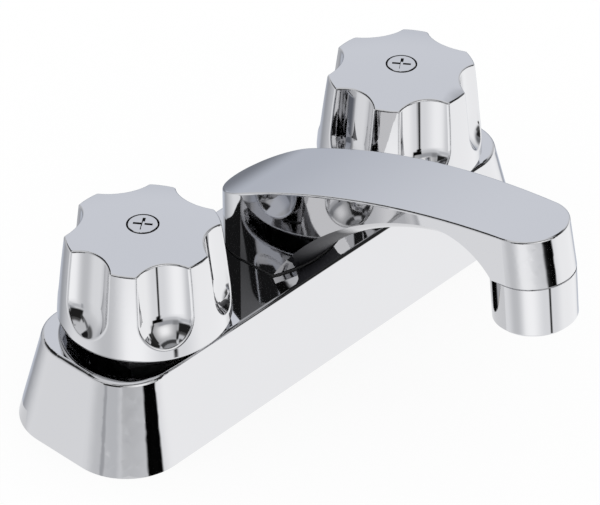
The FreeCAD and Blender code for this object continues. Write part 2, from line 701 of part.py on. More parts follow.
def make_spout():
    body = new_body("spout")
    high = CROWN_TIP_HEIGHT + given("outlet_radius") / 2
    plans = []
    for name, level in (("spout_low_plan", SPOUT_BOTTOM), ("spout_high_plan", high)):
        sketch = new_sketch(body, name, offset=level)
        tapered_plan(sketch, SPOUT_FOOT, *tip_circle(level))
        plans.append(sketch)
    loft(body, plans, "spout_block", ruled=True)

    sections = []
    for number, station in enumerate(ARCH_STATIONS):
        sketch = new_sketch(body, f"arch_section_{number}", "YZ_Plane", SPOUT_FOOT * station)
        arch_section(sketch, station)
        sections.append(sketch)
    loft(body, sections, "arch", subtract=True)

    outlet = []
    inset = LOOSE_GAP / 2
    for name, level in (("outlet_low", OUTLET_HEIGHT - given("outlet_overlap")), ("outlet_high", high)):
        radius, reach = tip_circle(level)
        sketch = new_sketch(body, name, offset=level)
        circle(sketch, radius - inset, ZERO, -reach)
        outlet.append(sketch)
    loft(body, outlet, "outlet_block", ruled=True)

    seam = new_sketch(body, "seam_side", "YZ_Plane")
    near, far = OUTLET_REACH - given("seam_back"), PAST_THE_TIP
    floor = OUTLET_HEIGHT - given("outlet_radius")
    outline(seam, [(-near, floor), (-near, seam_height(near)), (-far, seam_height(far)), (-far, floor)])
    pocket(body, seam, well_past(SPOUT_FOOT), "seam_cut", middle=True)

    crown = new_sketch(body, "crown_side", "YZ_Plane")
    back_z, tip_z = given("crown_back_height"), CROWN_TIP_HEIGHT
    back, reach = SPOUT_FOOT, given("crown_tip_reach")
    behind, ahead, above = back * 2, reach + SPOUT_FOOT, high + SPOUT_FOOT
    outline(crown, [(back, back_z), (-reach, tip_z), (-ahead, tip_z), (-ahead, above), (behind, above),
                    (behind, back_z)], {0: (given("crown_radius"), -1)})
    pocket(body, crown, well_past(SPOUT_FOOT), "crown_cut", middle=True)

    socket = new_sketch(body, "foot_socket", offset=SPOUT_BOTTOM)
    circle(socket, STEM_TUBE)
    pocket(body, socket, given("stem_tube_grip"), "foot_thread", reverse=True)
    chamber = new_sketch(body, "foot_chamber", offset=STEM_TUBE_TOP)
    circle(chamber, STEM_TUBE_BORE)
    pocket(body, chamber, STEM_TUBE_BORE, "foot_waterway", reverse=True)

    path = new_sketch(body, "neck_path", "YZ_Plane")
    start = (ZERO, STEM_TUBE_TOP + STEM_TUBE_BORE / 2)
    mid_reach = given("waterway_mid_reach")
    middle = (-mid_reach, crown_height(mid_reach) - given("waterway_mid_depth"))
    end = (given("waterway_end_back") - OUTLET_REACH, OUTLET_HEIGHT + given("waterway_end_rise"))
    radius = three_point_radius(start, middle, end)
    points = [FreeCAD.Vector(x.value, y.value, 0) for x, y in (start, end)]
    edge = path.addGeometry(arc_between(points[0], points[1], radius.value, -1))
    drive(path, "Radius", radius, edge)
    first, last = ends_from(path, edge, points[0])
    pin_point(path, edge, first, *start)
    pin_point(path, edge, last, *end)
    section = body.newObject("Sketcher::SketchObject", "neck_section")
    section.AttachmentSupport = [(path, "Edge1")]
    section.MapMode = "NormalToEdge"
    circle(section, given("neck_waterway"))
    before = volume_of(body)
    pipe = body.newObject("PartDesign::SubtractivePipe", "neck_bore")
    pipe.Profile = section
    pipe.Spine = (path, ["Edge1"])
    check_cut(body, before, "neck_bore")

    mouth = new_sketch(body, "outlet_socket_side", "YZ_Plane")
    add_tilted_socket(mouth)
    groove(body, mouth, "outlet_socket", "Axis0")

    round_edges(body, given("spout_edge_round"), "crown_edge", is_on_crown)
    return body


def is_on_crown(edge):
    """Whether an edge runs along the long curve of the spout's top."""
    centre_y, centre_z = crown_centre()
    radius, tolerance = given("crown_radius").value, 0.02
    first, last = edge.ParameterRange
    points = [edge.valueAt(first + (last - first) * share) for share in (0.1, 0.5, 0.9)]
    off = [math.hypot(point.y - centre_y.value, point.z - centre_z.value) - radius for point in points]
    return max(abs(error) for error in off) < tolerance


def along_outlet(radial, axial):
    """A point of the middle plane given along and across the outlet's tilted axis."""
    across, along = cosine(OUTLET_TILT), sine(OUTLET_TILT)
    return (-OUTLET_REACH + radial * across + axial * along,
            OUTLET_HEIGHT - radial * along + axial * across)


def add_tilted_socket(sketch):
    """The socket's half section beside the outlet's axis, with that axis as a construction line."""
    radius, depth, below = given("outlet_socket_radius"), given("outlet_socket_depth"), LOOSE_GAP * 3
    outline(sketch, [along_outlet(ZERO, -below), along_outlet(radius, -below), along_outlet(radius, depth),
                     along_outlet(ZERO, depth)])
    ends = [along_outlet(ZERO, -below), along_outlet(ZERO, depth)]
    points = [FreeCAD.Vector(x.value, y.value, 0) for x, y in ends]
    axis = sketch.addGeometry(Part.LineSegment(*points), True)
    pin_point(sketch, axis, 1, *ends[0])
    pin_point(sketch, axis, 2, *ends[1])


def make_spout_gasket():
    body = new_body("spout_gasket")
    radius = SPOUT_FOOT - LOOSE_GAP
    front = given("spout_front") - LOOSE_GAP
    bow = given("spout_front_bow")
    bow_radius = (radius * radius + bow * bow) / (bow * 2)
    sketch = new_sketch(body, "spout_gasket_plan", offset=COVER_HEIGHT)
    outline(sketch, [(radius, ZERO), (ZERO, radius), (-radius, ZERO), (-radius, -front), (radius, -front)],
            {0: (radius, -1), 1: (radius, -1), 3: (bow_radius, -1)})
    circle(sketch, STEM_TUBE + LOOSE_GAP)
    pad(body, sketch, given("spout_gasket_height"), "spout_gasket_sheet")
    return body


# Spout's threaded shank, with two O-rings, side ports and a locknut below

def seal_groove(body, name, radius, middle):
    """A square groove for an O-ring, a little wider than its section."""
    depth, half = SEAL * 2, SEAL + RUNNING_GAP * 2
    sketch = new_sketch(body, name, "XZ_Plane")
    inner, outer, low, high = radius - depth, radius + LOOSE_GAP, middle - half, middle + half
    outline(sketch, [(inner, low), (outer, low), (outer, high), (inner, high)])
    groove(body, sketch, name + "_groove")


def seal_ring(label, radius, middle, x=ZERO):
    """An O-ring that lies in such a groove, just inside the bore round it."""
    ring = doc.addObject("Part::Torus", label)
    ring.Label = label
    ring.setExpression("Radius1", (radius - SEAL + RUNNING_GAP / 2).formula)
    ring.setExpression("Radius2", SEAL.formula)
    return place(ring, x, ZERO, middle)


LOWER_SEAL = given("riser_bottom") + SEAL * 3
UPPER_SEAL = COVER_UNDERSIDE - SEAL * 2


def make_spout_shank():
    ports, tail = given("cross_height"), given("stem_tube_tail")
    floor = ports - given("port_radius") - RUNNING_GAP * 5
    body = turned("spout_shank", [(ZERO, tail), (STEM_TUBE, tail), (STEM_TUBE, STEM_TUBE_TOP),
                                  (STEM_TUBE_BORE, STEM_TUBE_TOP), (STEM_TUBE_BORE, floor), (ZERO, floor)])
    sketch = new_sketch(body, "port_section", "YZ_Plane")
    circle(sketch, given("port_radius"), ZERO, ports)
    pocket(body, sketch, well_past(STEM_TUBE), "ports", middle=True)
    seal_groove(body, "lower_shank_seal_seat", STEM_TUBE, LOWER_SEAL)
    seal_groove(body, "upper_shank_seal_seat", STEM_TUBE, UPPER_SEAL)
    return body


def make_spout_locknut():
    flats = given("spout_locknut_flats")
    corner, bottom, top = hexagon_corner(flats), given("stem_tube_tail") + LOOSE_GAP, given("riser_bottom")
    return hexagon_nut("spout_locknut", flats,
                       [(STEM_TUBE, bottom), (corner, bottom), (corner, top), (STEM_TUBE, top)])


# Aerator: drawn round its own upright axis with the seam at zero, then tilted into the outlet
# Each ring of holes in the stream former has this many more than the ring inside it
RING_STEP = 6


def make_aerator():
    height, thread = given("aerator_height"), given("outlet_socket_radius")
    bore = thread - given("aerator_wall")
    depth, washer = given("outlet_socket_depth"), given("aerator_washer_height")
    top = depth - washer
    outer, tip = given("outlet_radius") - LOOSE_GAP / 2, given("aerator_tip_radius")
    soft, lip, screen = given("aerator_edge_round"), given("aerator_lip"), given("screen_height")
    seam_step = LOOSE_GAP * 1.5
    lip_top = -height + lip
    housing = turned("aerator_housing", [
        (bore, top), (thread, top), (thread, ZERO), (outer - seam_step, ZERO),
        (outer - seam_step, -seam_step), (outer, -seam_step), (tip, -height + soft),
        (tip - soft, -height), (bore - lip, -height), (bore - lip, lip_top), (bore, lip_top),
    ], {6: (soft, -1)})

    insert_radius = bore - RUNNING_GAP
    inner = insert_radius - given("aerator_wall") / 2
    insert = turned("aerator_insert", [
        (ZERO, top), (ZERO, top - screen), (inner, top - screen), (inner, lip_top + screen),
        (insert_radius, lip_top + screen), (insert_radius, top),
    ])
    drill = new_sketch(insert, "insert_jets_plan", offset=top - screen)
    circle(drill, given("screen_hole"), inner / 2)
    jets = pocket(insert, drill, screen, "insert_jet", reverse=True)
    around(insert, jets, given("insert_jet_count"), "insert_jets")

    former = new_body("stream_former")
    disc = new_sketch(former, "former_plan", offset=lip_top)
    circle(disc, insert_radius)
    pad(former, disc, screen, "former_disc")
    centre = new_sketch(former, "former_centre_plan", offset=lip_top)
    circle(centre, given("screen_hole"))
    pocket(former, centre, screen, "former_centre", reverse=True)
    for ring in (1, 2, 3):
        sketch = new_sketch(former, f"former_hole_{ring}_plan", offset=lip_top)
        circle(sketch, given("screen_hole"), given("screen_pitch") * ring)
        hole = pocket(former, sketch, screen, f"former_hole_{ring}", reverse=True)
        around(former, hole, as_size(RING_STEP * ring), f"former_ring_{ring}")

    seal = tube("aerator_washer", thread - RUNNING_GAP, inner, top, depth)
    pieces = [housing, insert, former, seal]
    for piece in pieces:
        place(piece, ZERO, -OUTLET_REACH, OUTLET_HEIGHT, -OUTLET_TILT)
    return pieces


# One valve: shank, cartridge, stem, nuts and knob round one upright axis

def make_cartridge_body(label):
    barrel, shaft = given("cartridge_radius"), SHAFT_RADIUS + RUNNING_GAP
    cavity, neck = given("disc_radius") + RUNNING_GAP, given("cartridge_neck")
    flange, guide = given("flange_radius"), given("housing_bore") - RUNNING_GAP
    guide_bottom = HOUSING_TOP - given("housing_rise") / 2
    body = turned(label, [
        (cavity, FIXED_DISC_BOTTOM), (barrel, FIXED_DISC_BOTTOM), (barrel, guide_bottom),
        (guide, guide_bottom), (guide, HOUSING_TOP), (flange, HOUSING_TOP), (flange, FLANGE_TOP),
        (neck, FLANGE_TOP), (neck, NECK_TOP), (shaft, NECK_TOP), (shaft, DRIVE_ROOF), (cavity, DRIVE_ROOF),
    ])
    window = new_sketch(body, label + "_window_section", "XZ_Plane")
    margin = given("disc_height") / 4
    low, high = MOVING_DISC_TOP + margin, DRIVE_ROOF - margin
    half = barrel / 2
    outline(window, [(-half, low), (half, low), (half, high), (-half, high)])
    pocket(body, window, well_past(barrel), label + "_windows", middle=True)
    return body


def disc_ports(sketch):
    """Two opposite ports with round backs, each a little under a quarter turn wide."""
    inner, outer = given("disc_port_inner"), given("disc_port_outer")
    half_angle = given("disc_port_angle") / 2
    for side in (-1, 1):
        near_x, near_y = inner * cosine(half_angle) * side, inner * sine(half_angle)
        far_x, far_y = outer * cosine(half_angle) * side, outer * sine(half_angle)
        outline(sketch, [(near_x, -near_y), (far_x, -far_y), (far_x, far_y), (near_x, near_y)],
                {1: (outer, -side)})


def make_discs(prefix):
    radius, height = given("disc_radius"), given("disc_height")
    discs = []
    for name, bottom in (("fixed_disc", FIXED_DISC_BOTTOM), ("moving_disc", MOVING_DISC_BOTTOM)):
        label = f"{prefix}_{name}"
        body = new_body(label)
        plan = new_sketch(body, label + "_plan", offset=bottom)
        circle(plan, radius)
        pad(body, plan, height, label + "_blank")
        ports = new_sketch(body, label + "_ports_plan", offset=bottom)
        disc_ports(ports)
        pocket(body, ports, height, label + "_ports", reverse=True)
        discs.append(body)
    moving = discs[1]
    slot = new_sketch(moving, prefix + "_drive_slot_plan", offset=MOVING_DISC_TOP)
    centred_box(slot, well_past(radius), given("drive_bar_width") + RUNNING_GAP * 2)
    pocket(moving, slot, given("drive_slot_depth"), prefix + "_drive_slot")
    return discs


def make_stem(label):
    """The stem: drive bar, thrust collar, shaft with its grooves, splines and a tapped hole."""
    gap = RUNNING_GAP * 2
    collar_radius, collar_top = given("disc_radius") - LOOSE_GAP, DRIVE_ROOF - gap
    collar_bottom = collar_top - given("drive_room") / 4
    bar_bottom = MOVING_DISC_TOP - given("drive_slot_depth") + RUNNING_GAP
    hole_bottom = STEM_TOP - given("screw_depth") - LOOSE_GAP
    clip_seat = SHAFT_RADIUS - given("clip_height")
    clip_low, clip_high = CLIP_BOTTOM - RUNNING_GAP / 2, CLIP_TOP + RUNNING_GAP / 2
    body = turned(label, [
        (ZERO, collar_bottom), (collar_radius, collar_bottom), (collar_radius, collar_top),
        (SHAFT_RADIUS, collar_top), (SHAFT_RADIUS, clip_low), (clip_seat, clip_low), (clip_seat, clip_high),
        (SPLINE_RADIUS, clip_high), (SPLINE_RADIUS, STEM_TOP), (given("screw_radius"), STEM_TOP),
        (given("screw_radius"), hole_bottom), (ZERO, hole_bottom),
    ])
    bar = new_sketch(body, label + "_bar_plan", offset=bar_bottom)
    centred_box(bar, given("drive_bar_length"), given("drive_bar_width"))
    pad(body, bar, collar_bottom - bar_bottom, label + "_bar")
    notch = new_sketch(body, label + "_notch_plan", offset=HUB_BOTTOM)
    circle(notch, given("spline_notch"), SPLINE_RADIUS + RUNNING_GAP)
    cut = pocket(body, notch, STEM_TOP - HUB_BOTTOM, label + "_notch", reverse=True)
    around(body, cut, given("spline_notches"), label + "_splines")
    seal_groove(body, label + "_seal_seat", SHAFT_RADIUS, STEM_SEAL)
    return body


STEM_SEAL = HOUSING_TOP - SEAL * 2


def make_clip(label):
    """A retaining clip: a flat ring with a gap, snapped into the stem's groove."""
    inner, outer = SHAFT_RADIUS - given("clip_height"), given("clip_radius")
    body = tube(label, outer, inner, CLIP_BOTTOM, CLIP_TOP)
    gap = new_sketch(body, label + "_gap_plan", offset=CLIP_TOP)
    half, outside = given("clip_opening") / 2, well_past(outer)
    outline(gap, [(ZERO, -half), (outside, -half), (outside, half), (ZERO, half)])
    pocket(body, gap, given("clip_height"), label + "_gap")
    return body


def make_bonnet_nut(label):
    """A cap nut that clamps the cartridge's flange to the housing."""
    flats = given("bonnet_flats")
    corner, bottom = hexagon_corner(flats), COVER_HEIGHT + given("locknut_height") + LOOSE_GAP * 2
    lip = given("cartridge_neck") + LOOSE_GAP
    return hexagon_nut(label, flats, [
        (HOUSING_RADIUS, bottom), (corner, bottom), (corner, BONNET_TOP), (lip, BONNET_TOP),
        (lip, FLANGE_TOP), (HOUSING_RADIUS, FLANGE_TOP),
    ])


def make_cover_locknut(label):
    corner, top = hexagon_corner(given("locknut_flats")), COVER_HEIGHT + given("locknut_height")
    return hexagon_nut(label, given("locknut_flats"), [
        (HOUSING_RADIUS, COVER_HEIGHT), (corner, COVER_HEIGHT), (corner, top), (HOUSING_RADIUS, top)])


def make_inlet_shank(label):
    """A threaded shank; its lower stretch, behind a chamfered step, takes the supply nut."""
    connector, bottom = given("connector_radius"), -given("shank_drop")
    step = bottom + given("connector_length")
    chamfer = SHANK_RADIUS - connector
    edge = LOOSE_GAP * 2
    return turned(label, [
        (given("shank_bore"), bottom), (connector - edge, bottom), (connector, bottom + edge),
        (connector, step), (SHANK_RADIUS, step + chamfer), (SHANK_RADIUS, SOCKET_TOP),
        (given("shank_bore"), SOCKET_TOP),
    ])


def make_mounting_nut(label):
    """A wing nut under the deck."""
    top = -given("deck_grip") - given("washer_height")
    bottom = top - given("wing_nut_height")
    body = tube(label, given("wing_nut_radius"), SHANK_RADIUS, bottom, top)
    wings = new_sketch(body, label + "_wing_plan", offset=bottom)
    inner, outer = (SHANK_RADIUS + given("wing_nut_radius")) / 2, given("wing_span") / 2
    half = given("wing_width") / 2
    outline(wings, [(inner, -half), (outer, -half), (outer, half), (inner, half)])
    wing = pad(body, wings, given("wing_nut_height"), label + "_wing")
    around(body, wing, given("wing_count"), label + "_wings")
    return body


def skirt_radius(height_above_edge):
    """Knob radius on the straight line of its skirt, at a height above its lower edge."""
    lean = (given("knob_radius") - given("knob_top_radius")) / given("knob_height")
    return given("knob_radius") - lean * height_above_edge


def bow_radius(length, bow):
    return (length * length / 4 + bow * bow) / (bow * 2)


def flute_tool(sketch, extra):
    """Half section of one ball-ended scoop, leaning with the skirt; extra grows it for the inside."""
    scoop = given("flute_radius") + extra
    lean = (given("knob_radius") - given("knob_top_radius")) / given("knob_height")
    slant = root(as_size(1) + lean * lean)
    tilt_x, tilt_z = -lean / slant, as_size(1) / slant
    offset = given("flute_radius") - given("flute_depth")
    # the ball's lowest contact with the skirt sits at the flute's end
    drop = root(given("flute_radius") * given("flute_radius") - offset * offset)
    centre_z = KNOB_BOTTOM + given("flute_end") + drop * tilt_z
    centre_x = skirt_radius(given("flute_end") + drop * tilt_z) + offset / tilt_z
    past_the_top = well_past(given("knob_height")) / 2

    def at(along, across):
        return (centre_x + tilt_x * along - tilt_z * across, centre_z + tilt_z * along + tilt_x * across)

    far = at(past_the_top, ZERO)
    outline(sketch, [at(-scoop, ZERO), at(ZERO, scoop), at(past_the_top, scoop), far], {0: (scoop, 1)})
    ends = [at(-scoop, ZERO), far]
    axis = sketch.addGeometry(Part.LineSegment(*[FreeCAD.Vector(x.value, y.value, 0) for x, y in ends]), True)
    pin_point(sketch, axis, 1, *ends[0])
    pin_point(sketch, axis, 2, *ends[1])


def make_handle(label):
    """A hollow fluted knob with a splined boss held by ribs."""
    bore, notch = SPLINE_RADIUS + RUNNING_GAP, given("spline_notch")
    soft, radius, top_radius = given("knob_lip_round"), given("knob_radius"), given("knob_top_radius")
    wall, crown = given("knob_wall"), given("knob_crown")
    taper, height = radius - top_radius, given("knob_height")
    skirt_length = root(taper * taper + height * height)
    dome = (top_radius * top_radius + crown * crown) / (crown * 2)
    hole_top = KNOB_CROWN - (dome - root(dome * dome - BUTTON_HOLE * BUTTON_HOLE))
    screw_hole, screw_room = given("screw_radius") + LOOSE_GAP, given("screw_head_radius") + LOOSE_GAP

    shell = turned(label + "_blank", [
        (bore, KNOB_BOTTOM), (radius - soft, KNOB_BOTTOM), (radius, KNOB_BOTTOM + soft),
        (top_radius, KNOB_EDGE), (BUTTON_HOLE, hole_top), (BUTTON_HOLE, BUTTON_LEDGE),
        (screw_room, BUTTON_LEDGE), (screw_room, HUB_WEB_TOP), (screw_hole, HUB_WEB_TOP),
        (screw_hole, HUB_WEB_BOTTOM), (bore, HUB_WEB_BOTTOM),
    ], {1: (soft, -1), 2: (bow_radius(skirt_length, given("knob_bow")), -1), 3: (dome, -1)})
    scoop = new_sketch(shell, label + "_flute_side", "XZ_Plane")
    flute_tool(scoop, ZERO)
    flute = groove(shell, scoop, label + "_flute", "Axis0")
    around(shell, flute, given("flute_count"), label + "_flutes")

    def is_outside(edge):
        middle = edge.CenterOfMass
        return math.hypot(middle.x, middle.y) > given("hub_radius").value * 2

    def is_rim(edge):
        return edge.BoundBox.ZMin > KNOB_EDGE.value - 0.05 and is_outside(edge)

    def is_flute_side(edge):
        box = edge.BoundBox
        clear_of_lip = box.ZMin > KNOB_BOTTOM.value + soft.value * 2
        return clear_of_lip and box.ZMin < KNOB_EDGE.value - 0.05 and is_outside(edge)

    round_edges(shell, given("flute_edge_round"), label + "_flute_edges", is_flute_side)
    round_edges(shell, given("knob_edge_round"), label + "_rim", is_rim)
    tooth = new_sketch(shell, label + "_tooth_plan", offset=HUB_BOTTOM)
    circle(tooth, notch - RUNNING_GAP, SPLINE_RADIUS + RUNNING_GAP)
    spline = pad(shell, tooth, HUB_WEB_BOTTOM - HUB_BOTTOM, label + "_tooth")
    around(shell, spline, given("spline_notches"), label + "_splines")

    core = turned(label + "_core", [
        (ZERO, KNOB_BOTTOM - soft), (radius - wall, KNOB_BOTTOM - soft), (radius - wall, KNOB_BOTTOM + soft),
        (skirt_radius(KNOB_ROOF - KNOB_BOTTOM) - wall, KNOB_ROOF), (ZERO, KNOB_ROOF),
    ])
    inner_scoop = new_sketch(core, label + "_inner_flute_side", "XZ_Plane")
    flute_tool(inner_scoop, wall)
    inner_flute = groove(core, inner_scoop, label + "_inner_flute", "Axis0")
    around(core, inner_flute, given("flute_count"), label + "_inner_flutes")
    boss = new_sketch(core, label + "_boss_plan", offset=HUB_BOTTOM)
    circle(boss, given("hub_radius"))
    pocket(core, boss, KNOB_ROOF - HUB_BOTTOM, label + "_boss", reverse=True)
    rib_level = HUB_BOTTOM + given("hub_web")
    rib = new_sketch(core, label + "_rib_plan", offset=rib_level)
    half = given("rib_width") / 2
    outline(rib, [(ZERO, -half), (radius, -half), (radius, half), (ZERO, half)])
    rib_cut = pocket(core, rib, KNOB_ROOF - rib_level, label + "_rib", reverse=True)
    around(core, rib_cut, given("flute_count"), label + "_ribs")

    knob = doc.addObject("Part::Cut", label)
    knob.Label = label
    knob.Base, knob.Tool = shell, core
    return knob


def make_button(label):
    """An index button with a cross recess, on the ledge above the screw and flush with the dome."""
    top_radius, crown = given("knob_top_radius"), given("knob_crown")
    dome = (top_radius * top_radius + crown * crown) / (crown * 2)
    edge = LOOSE_GAP / 2
    rim = BUTTON_RADIUS - edge
    rim_top = KNOB_CROWN - (dome - root(dome * dome - rim * rim))
    body = turned(label, [
        (ZERO, BUTTON_LEDGE), (BUTTON_RADIUS, BUTTON_LEDGE), (BUTTON_RADIUS, rim_top - edge),
        (rim, rim_top), (ZERO, KNOB_CROWN),
    ], {3: (dome, -1)})
    cross_recess(body, label, KNOB_CROWN, given("button_recess_length"), given("button_recess_width"),
                 given("button_recess_depth"), given("button_recess_turn"))
    return body


def cross_recess(body, label, top, length, width, depth, turn=ZERO):
    """Sinks a cross for a screwdriver into the body from that height."""
    plan = new_sketch(body, label + "_recess_plan", offset=top)
    run, rise = cosine(turn), sine(turn)
    long_half, short_half = length / 2, width / 2
    corners = [(long_half, short_half), (-long_half, short_half), (-long_half, -short_half),
               (long_half, -short_half)]
    outline(plan, [(u * run - v * rise, u * rise + v * run) for u, v in corners])
    slot = pocket(body, plan, depth, label + "_recess")
    cross = around(body, slot, as_size(2), label + "_cross")
    cross.Angle = 180


def make_screw(label):
    """The knob screw, with a cross recess in its head too."""
    thread, head = given("screw_radius"), given("screw_head_radius")
    head_top, tip = HUB_WEB_TOP + given("screw_head_height"), STEM_TOP - given("screw_depth")
    edge = LOOSE_GAP
    body = turned(label, [(ZERO, tip), (thread, tip), (thread, HUB_WEB_TOP), (head, HUB_WEB_TOP),
                          (head, head_top - edge), (head - edge, head_top), (ZERO, head_top)])
    cross_recess(body, label, head_top, given("recess_length"), given("recess_width"),
                 given("screw_head_height") / 2)
    return body


def make_valve(prefix, x):
    """All the pieces round one knob's axis."""
    def label(name):
        return f"{prefix}_{name}"

    pieces = [
        make_inlet_shank(label("inlet_shank")),
        tube(label("mounting_washer"), given("washer_radius"), SHANK_RADIUS + LOOSE_GAP / 2,
             -given("deck_grip") - given("washer_height"), -given("deck_grip")),
        make_mounting_nut(label("mounting_nut")),
        tube(label("seat_seal"), given("disc_radius"), given("seat_orifice"), SEAT, FIXED_DISC_BOTTOM),
        make_cartridge_body(label("cartridge_body")),
        *make_discs(prefix),
        make_stem(label("stem")),
        make_clip(label("stem_clip")),
        make_bonnet_nut(label("bonnet_nut")),
        make_cover_locknut(label("cover_locknut")),
        make_handle(label("handle")),
        make_screw(label("handle_screw")),
        make_button(label("index_button")),
    ]
    for piece in pieces:
        place(piece, x)
    pieces.append(seal_ring(label("stem_seal"), SHAFT_RADIUS, STEM_SEAL, x))
    return pieces


def make_tap():
    pieces = [
        make_base_cover(),
        make_deck_gasket(),
        make_waterway_body(),
        make_spout(),
        make_spout_gasket(),
        make_spout_shank(),
        seal_ring("lower_shank_seal", STEM_TUBE, LOWER_SEAL),
        seal_ring("upper_shank_seal", STEM_TUBE, UPPER_SEAL),
        make_spout_locknut(),
        *make_aerator(),
        *make_valve("hot", -HALF_SPACING),
        *make_valve("cold", HALF_SPACING),
    ]
    return pieces


pieces = make_tap()
doc.recompute()

for item in doc.Objects:
    if "Invalid" in item.State or "Error" in item.State:
        raise RuntimeError(f"{item.Label} failed: {item.State}")
for piece in pieces:
    if piece.Shape.isNull() or not piece.Shape.isValid():
        raise RuntimeError(f"{piece.Label} has no valid shape")

os.makedirs("parts", exist_ok=True)
for piece in pieces:
    piece.Shape.exportStep(f"parts/{piece.Label}.step")
    box = piece.Shape.BoundBox
    print(f"{piece.Label:24s} {len(piece.Shape.Solids)} solid  {piece.Shape.Volume:10.1f} mm3  "
          f"z {box.ZMin:7.2f} to {box.ZMax:7.2f}")
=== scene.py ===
# %% [markdown]
# # A two-knob basin mixer tap
#
# The tap is 43 real pieces: a hollow base cover, a fixed spout with its aerator, two fluted
# knobs, and below and inside them the brass, ceramic and rubber that make it work. Their shapes
# are already there as a fixed frame, in metres. This lesson gives each one its finish, adds the
# small things that a finish can't give, and sets up the camera and the studio that the polished
# chrome reflects.

# %% Load the frame
import json
import math

import bmesh
import bpy
from mathutils import Matrix, Vector


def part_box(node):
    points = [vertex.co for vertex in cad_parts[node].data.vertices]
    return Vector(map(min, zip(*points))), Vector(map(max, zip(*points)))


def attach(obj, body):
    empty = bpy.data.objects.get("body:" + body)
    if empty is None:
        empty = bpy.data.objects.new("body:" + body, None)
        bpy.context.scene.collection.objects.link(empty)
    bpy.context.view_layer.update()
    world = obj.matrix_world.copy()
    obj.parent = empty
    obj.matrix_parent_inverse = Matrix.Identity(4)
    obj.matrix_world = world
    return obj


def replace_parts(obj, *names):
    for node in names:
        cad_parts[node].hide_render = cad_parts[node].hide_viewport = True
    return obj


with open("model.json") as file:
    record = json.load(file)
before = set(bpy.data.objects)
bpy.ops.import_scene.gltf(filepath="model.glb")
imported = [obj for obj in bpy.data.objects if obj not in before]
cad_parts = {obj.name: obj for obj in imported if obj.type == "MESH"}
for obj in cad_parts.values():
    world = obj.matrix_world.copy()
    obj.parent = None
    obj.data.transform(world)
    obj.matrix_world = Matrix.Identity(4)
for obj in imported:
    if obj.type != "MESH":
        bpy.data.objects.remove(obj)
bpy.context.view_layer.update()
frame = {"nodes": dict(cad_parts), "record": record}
nodes = frame["nodes"]


def millimetres(length):
    return round(1000 * length, 1)


# %% [markdown]
# ## The camera
#
# The picture looks down at the tap from its hot side with a long lens, so upright edges stay
# nearly parallel. A camera points along its own -Z, so its axes are built from a heading, a
# downward pitch and a slight roll, and become the columns of its matrix. Building the matrix
# keeps all three angles readable, which a target constraint would not.

# %% Camera
CAMERA_PLACE = Vector((-0.58007, -0.53844, 0.61481))
HEADING, PITCH, ROLL = math.radians(47.607), math.radians(36.917), math.radians(0.34)
SENSOR_WIDTH = 36
LENS = 216.94

forward = Vector((math.sin(HEADING) * math.cos(PITCH), math.cos(HEADING) * math.cos(PITCH),
                  -math.sin(PITCH)))
level_right = Vector((math.cos(HEADING), -math.sin(HEADING), 0))
level_up = level_right.cross(forward)
right = math.cos(ROLL) * level_right + math.sin(ROLL) * level_up
up = math.cos(ROLL) * level_up - math.sin(ROLL) * level_right
turn = Matrix((right, up, -forward)).transposed().to_4x4()

camera_data = bpy.data.cameras.new("camera")
camera_data.lens = LENS
camera_data.sensor_width = SENSOR_WIDTH
camera = bpy.data.objects.new("camera", camera_data)
camera.matrix_world = Matrix.Translation(CAMERA_PLACE) @ turn
scene = bpy.context.scene
scene.collection.objects.link(camera)
scene.camera = camera
scene.view_settings.view_transform = "Standard"
print("camera to tap, mm:", millimetres(CAMERA_PLACE.length))

# %% [markdown]
# ## Shader maths as plain expressions
#
# A finish is a small graph of nodes. Wiring one by hand takes many lines, so a `Signal` wraps one
# output socket and lets Python's own operators add Math nodes: `1 - mask` or `noise * 0.02`
# read as they would on paper. Any other node comes from `Finish.make`, which takes its kind, the
# settings to set first, and the values or signals for its inputs.

# %% Signals
class Signal:
    """One output socket of a finish; operators on it add Math nodes."""

    def __init__(self, finish, socket):
        self.finish = finish
        self.socket = socket

    def maths(self, operation, *others):
        return self.finish.maths(operation, self, *others)

    def __add__(self, value):
        return self.finish.maths("ADD", self, value)

    def __radd__(self, value):
        return self.finish.maths("ADD", value, self)

    def __sub__(self, value):
        return self.finish.maths("SUBTRACT", self, value)

    def __rsub__(self, value):
        return self.finish.maths("SUBTRACT", value, self)

    def __mul__(self, value):
        return self.finish.maths("MULTIPLY", self, value)

    def __rmul__(self, value):
        return self.finish.maths("MULTIPLY", value, self)

    def __truediv__(self, value):
        return self.finish.maths("DIVIDE", self, value)

    def __rtruediv__(self, value):
        return self.finish.maths("DIVIDE", value, self)

    def __abs__(self):
        return self.finish.maths("ABSOLUTE", self)


# %% Finishes
class Finish:
    """The node tree of one material or of the world."""

    def __init__(self, owner):
        owner.use_nodes = True
        self.tree = owner.node_tree
        self.tree.nodes.clear()

    def make(self, kind, sockets=None, output=0, stops=None, **settings):
        """Adds one node: its settings and any ramp stops first, then its inputs."""
        node = self.tree.nodes.new("ShaderNode" + kind)
        for name, value in settings.items():
            setattr(node, name, value)
        if stops:
            elements = node.color_ramp.elements
            while len(elements) < len(stops):
                elements.new(1)
            for element, (place, colour) in zip(elements, stops):
                element.position = place
                element.color = colour
        for name, value in (sockets or {}).items():
            if isinstance(value, Signal):
                self.tree.links.new(value.socket, node.inputs[name])
            else:
                node.inputs[name].default_value = value
        return Signal(self, node.outputs[output]) if node.outputs else None

    def maths(self, operation, *values):
        return self.make("Math", dict(enumerate(values)), operation=operation)

    def mix(self, share, low, high):
        """A colour between two colours, whose sockets on the Mix node are numbers 6 and 7."""
        return self.make("Mix", {0: share, 6: low, 7: high}, output=2, data_type="RGBA")


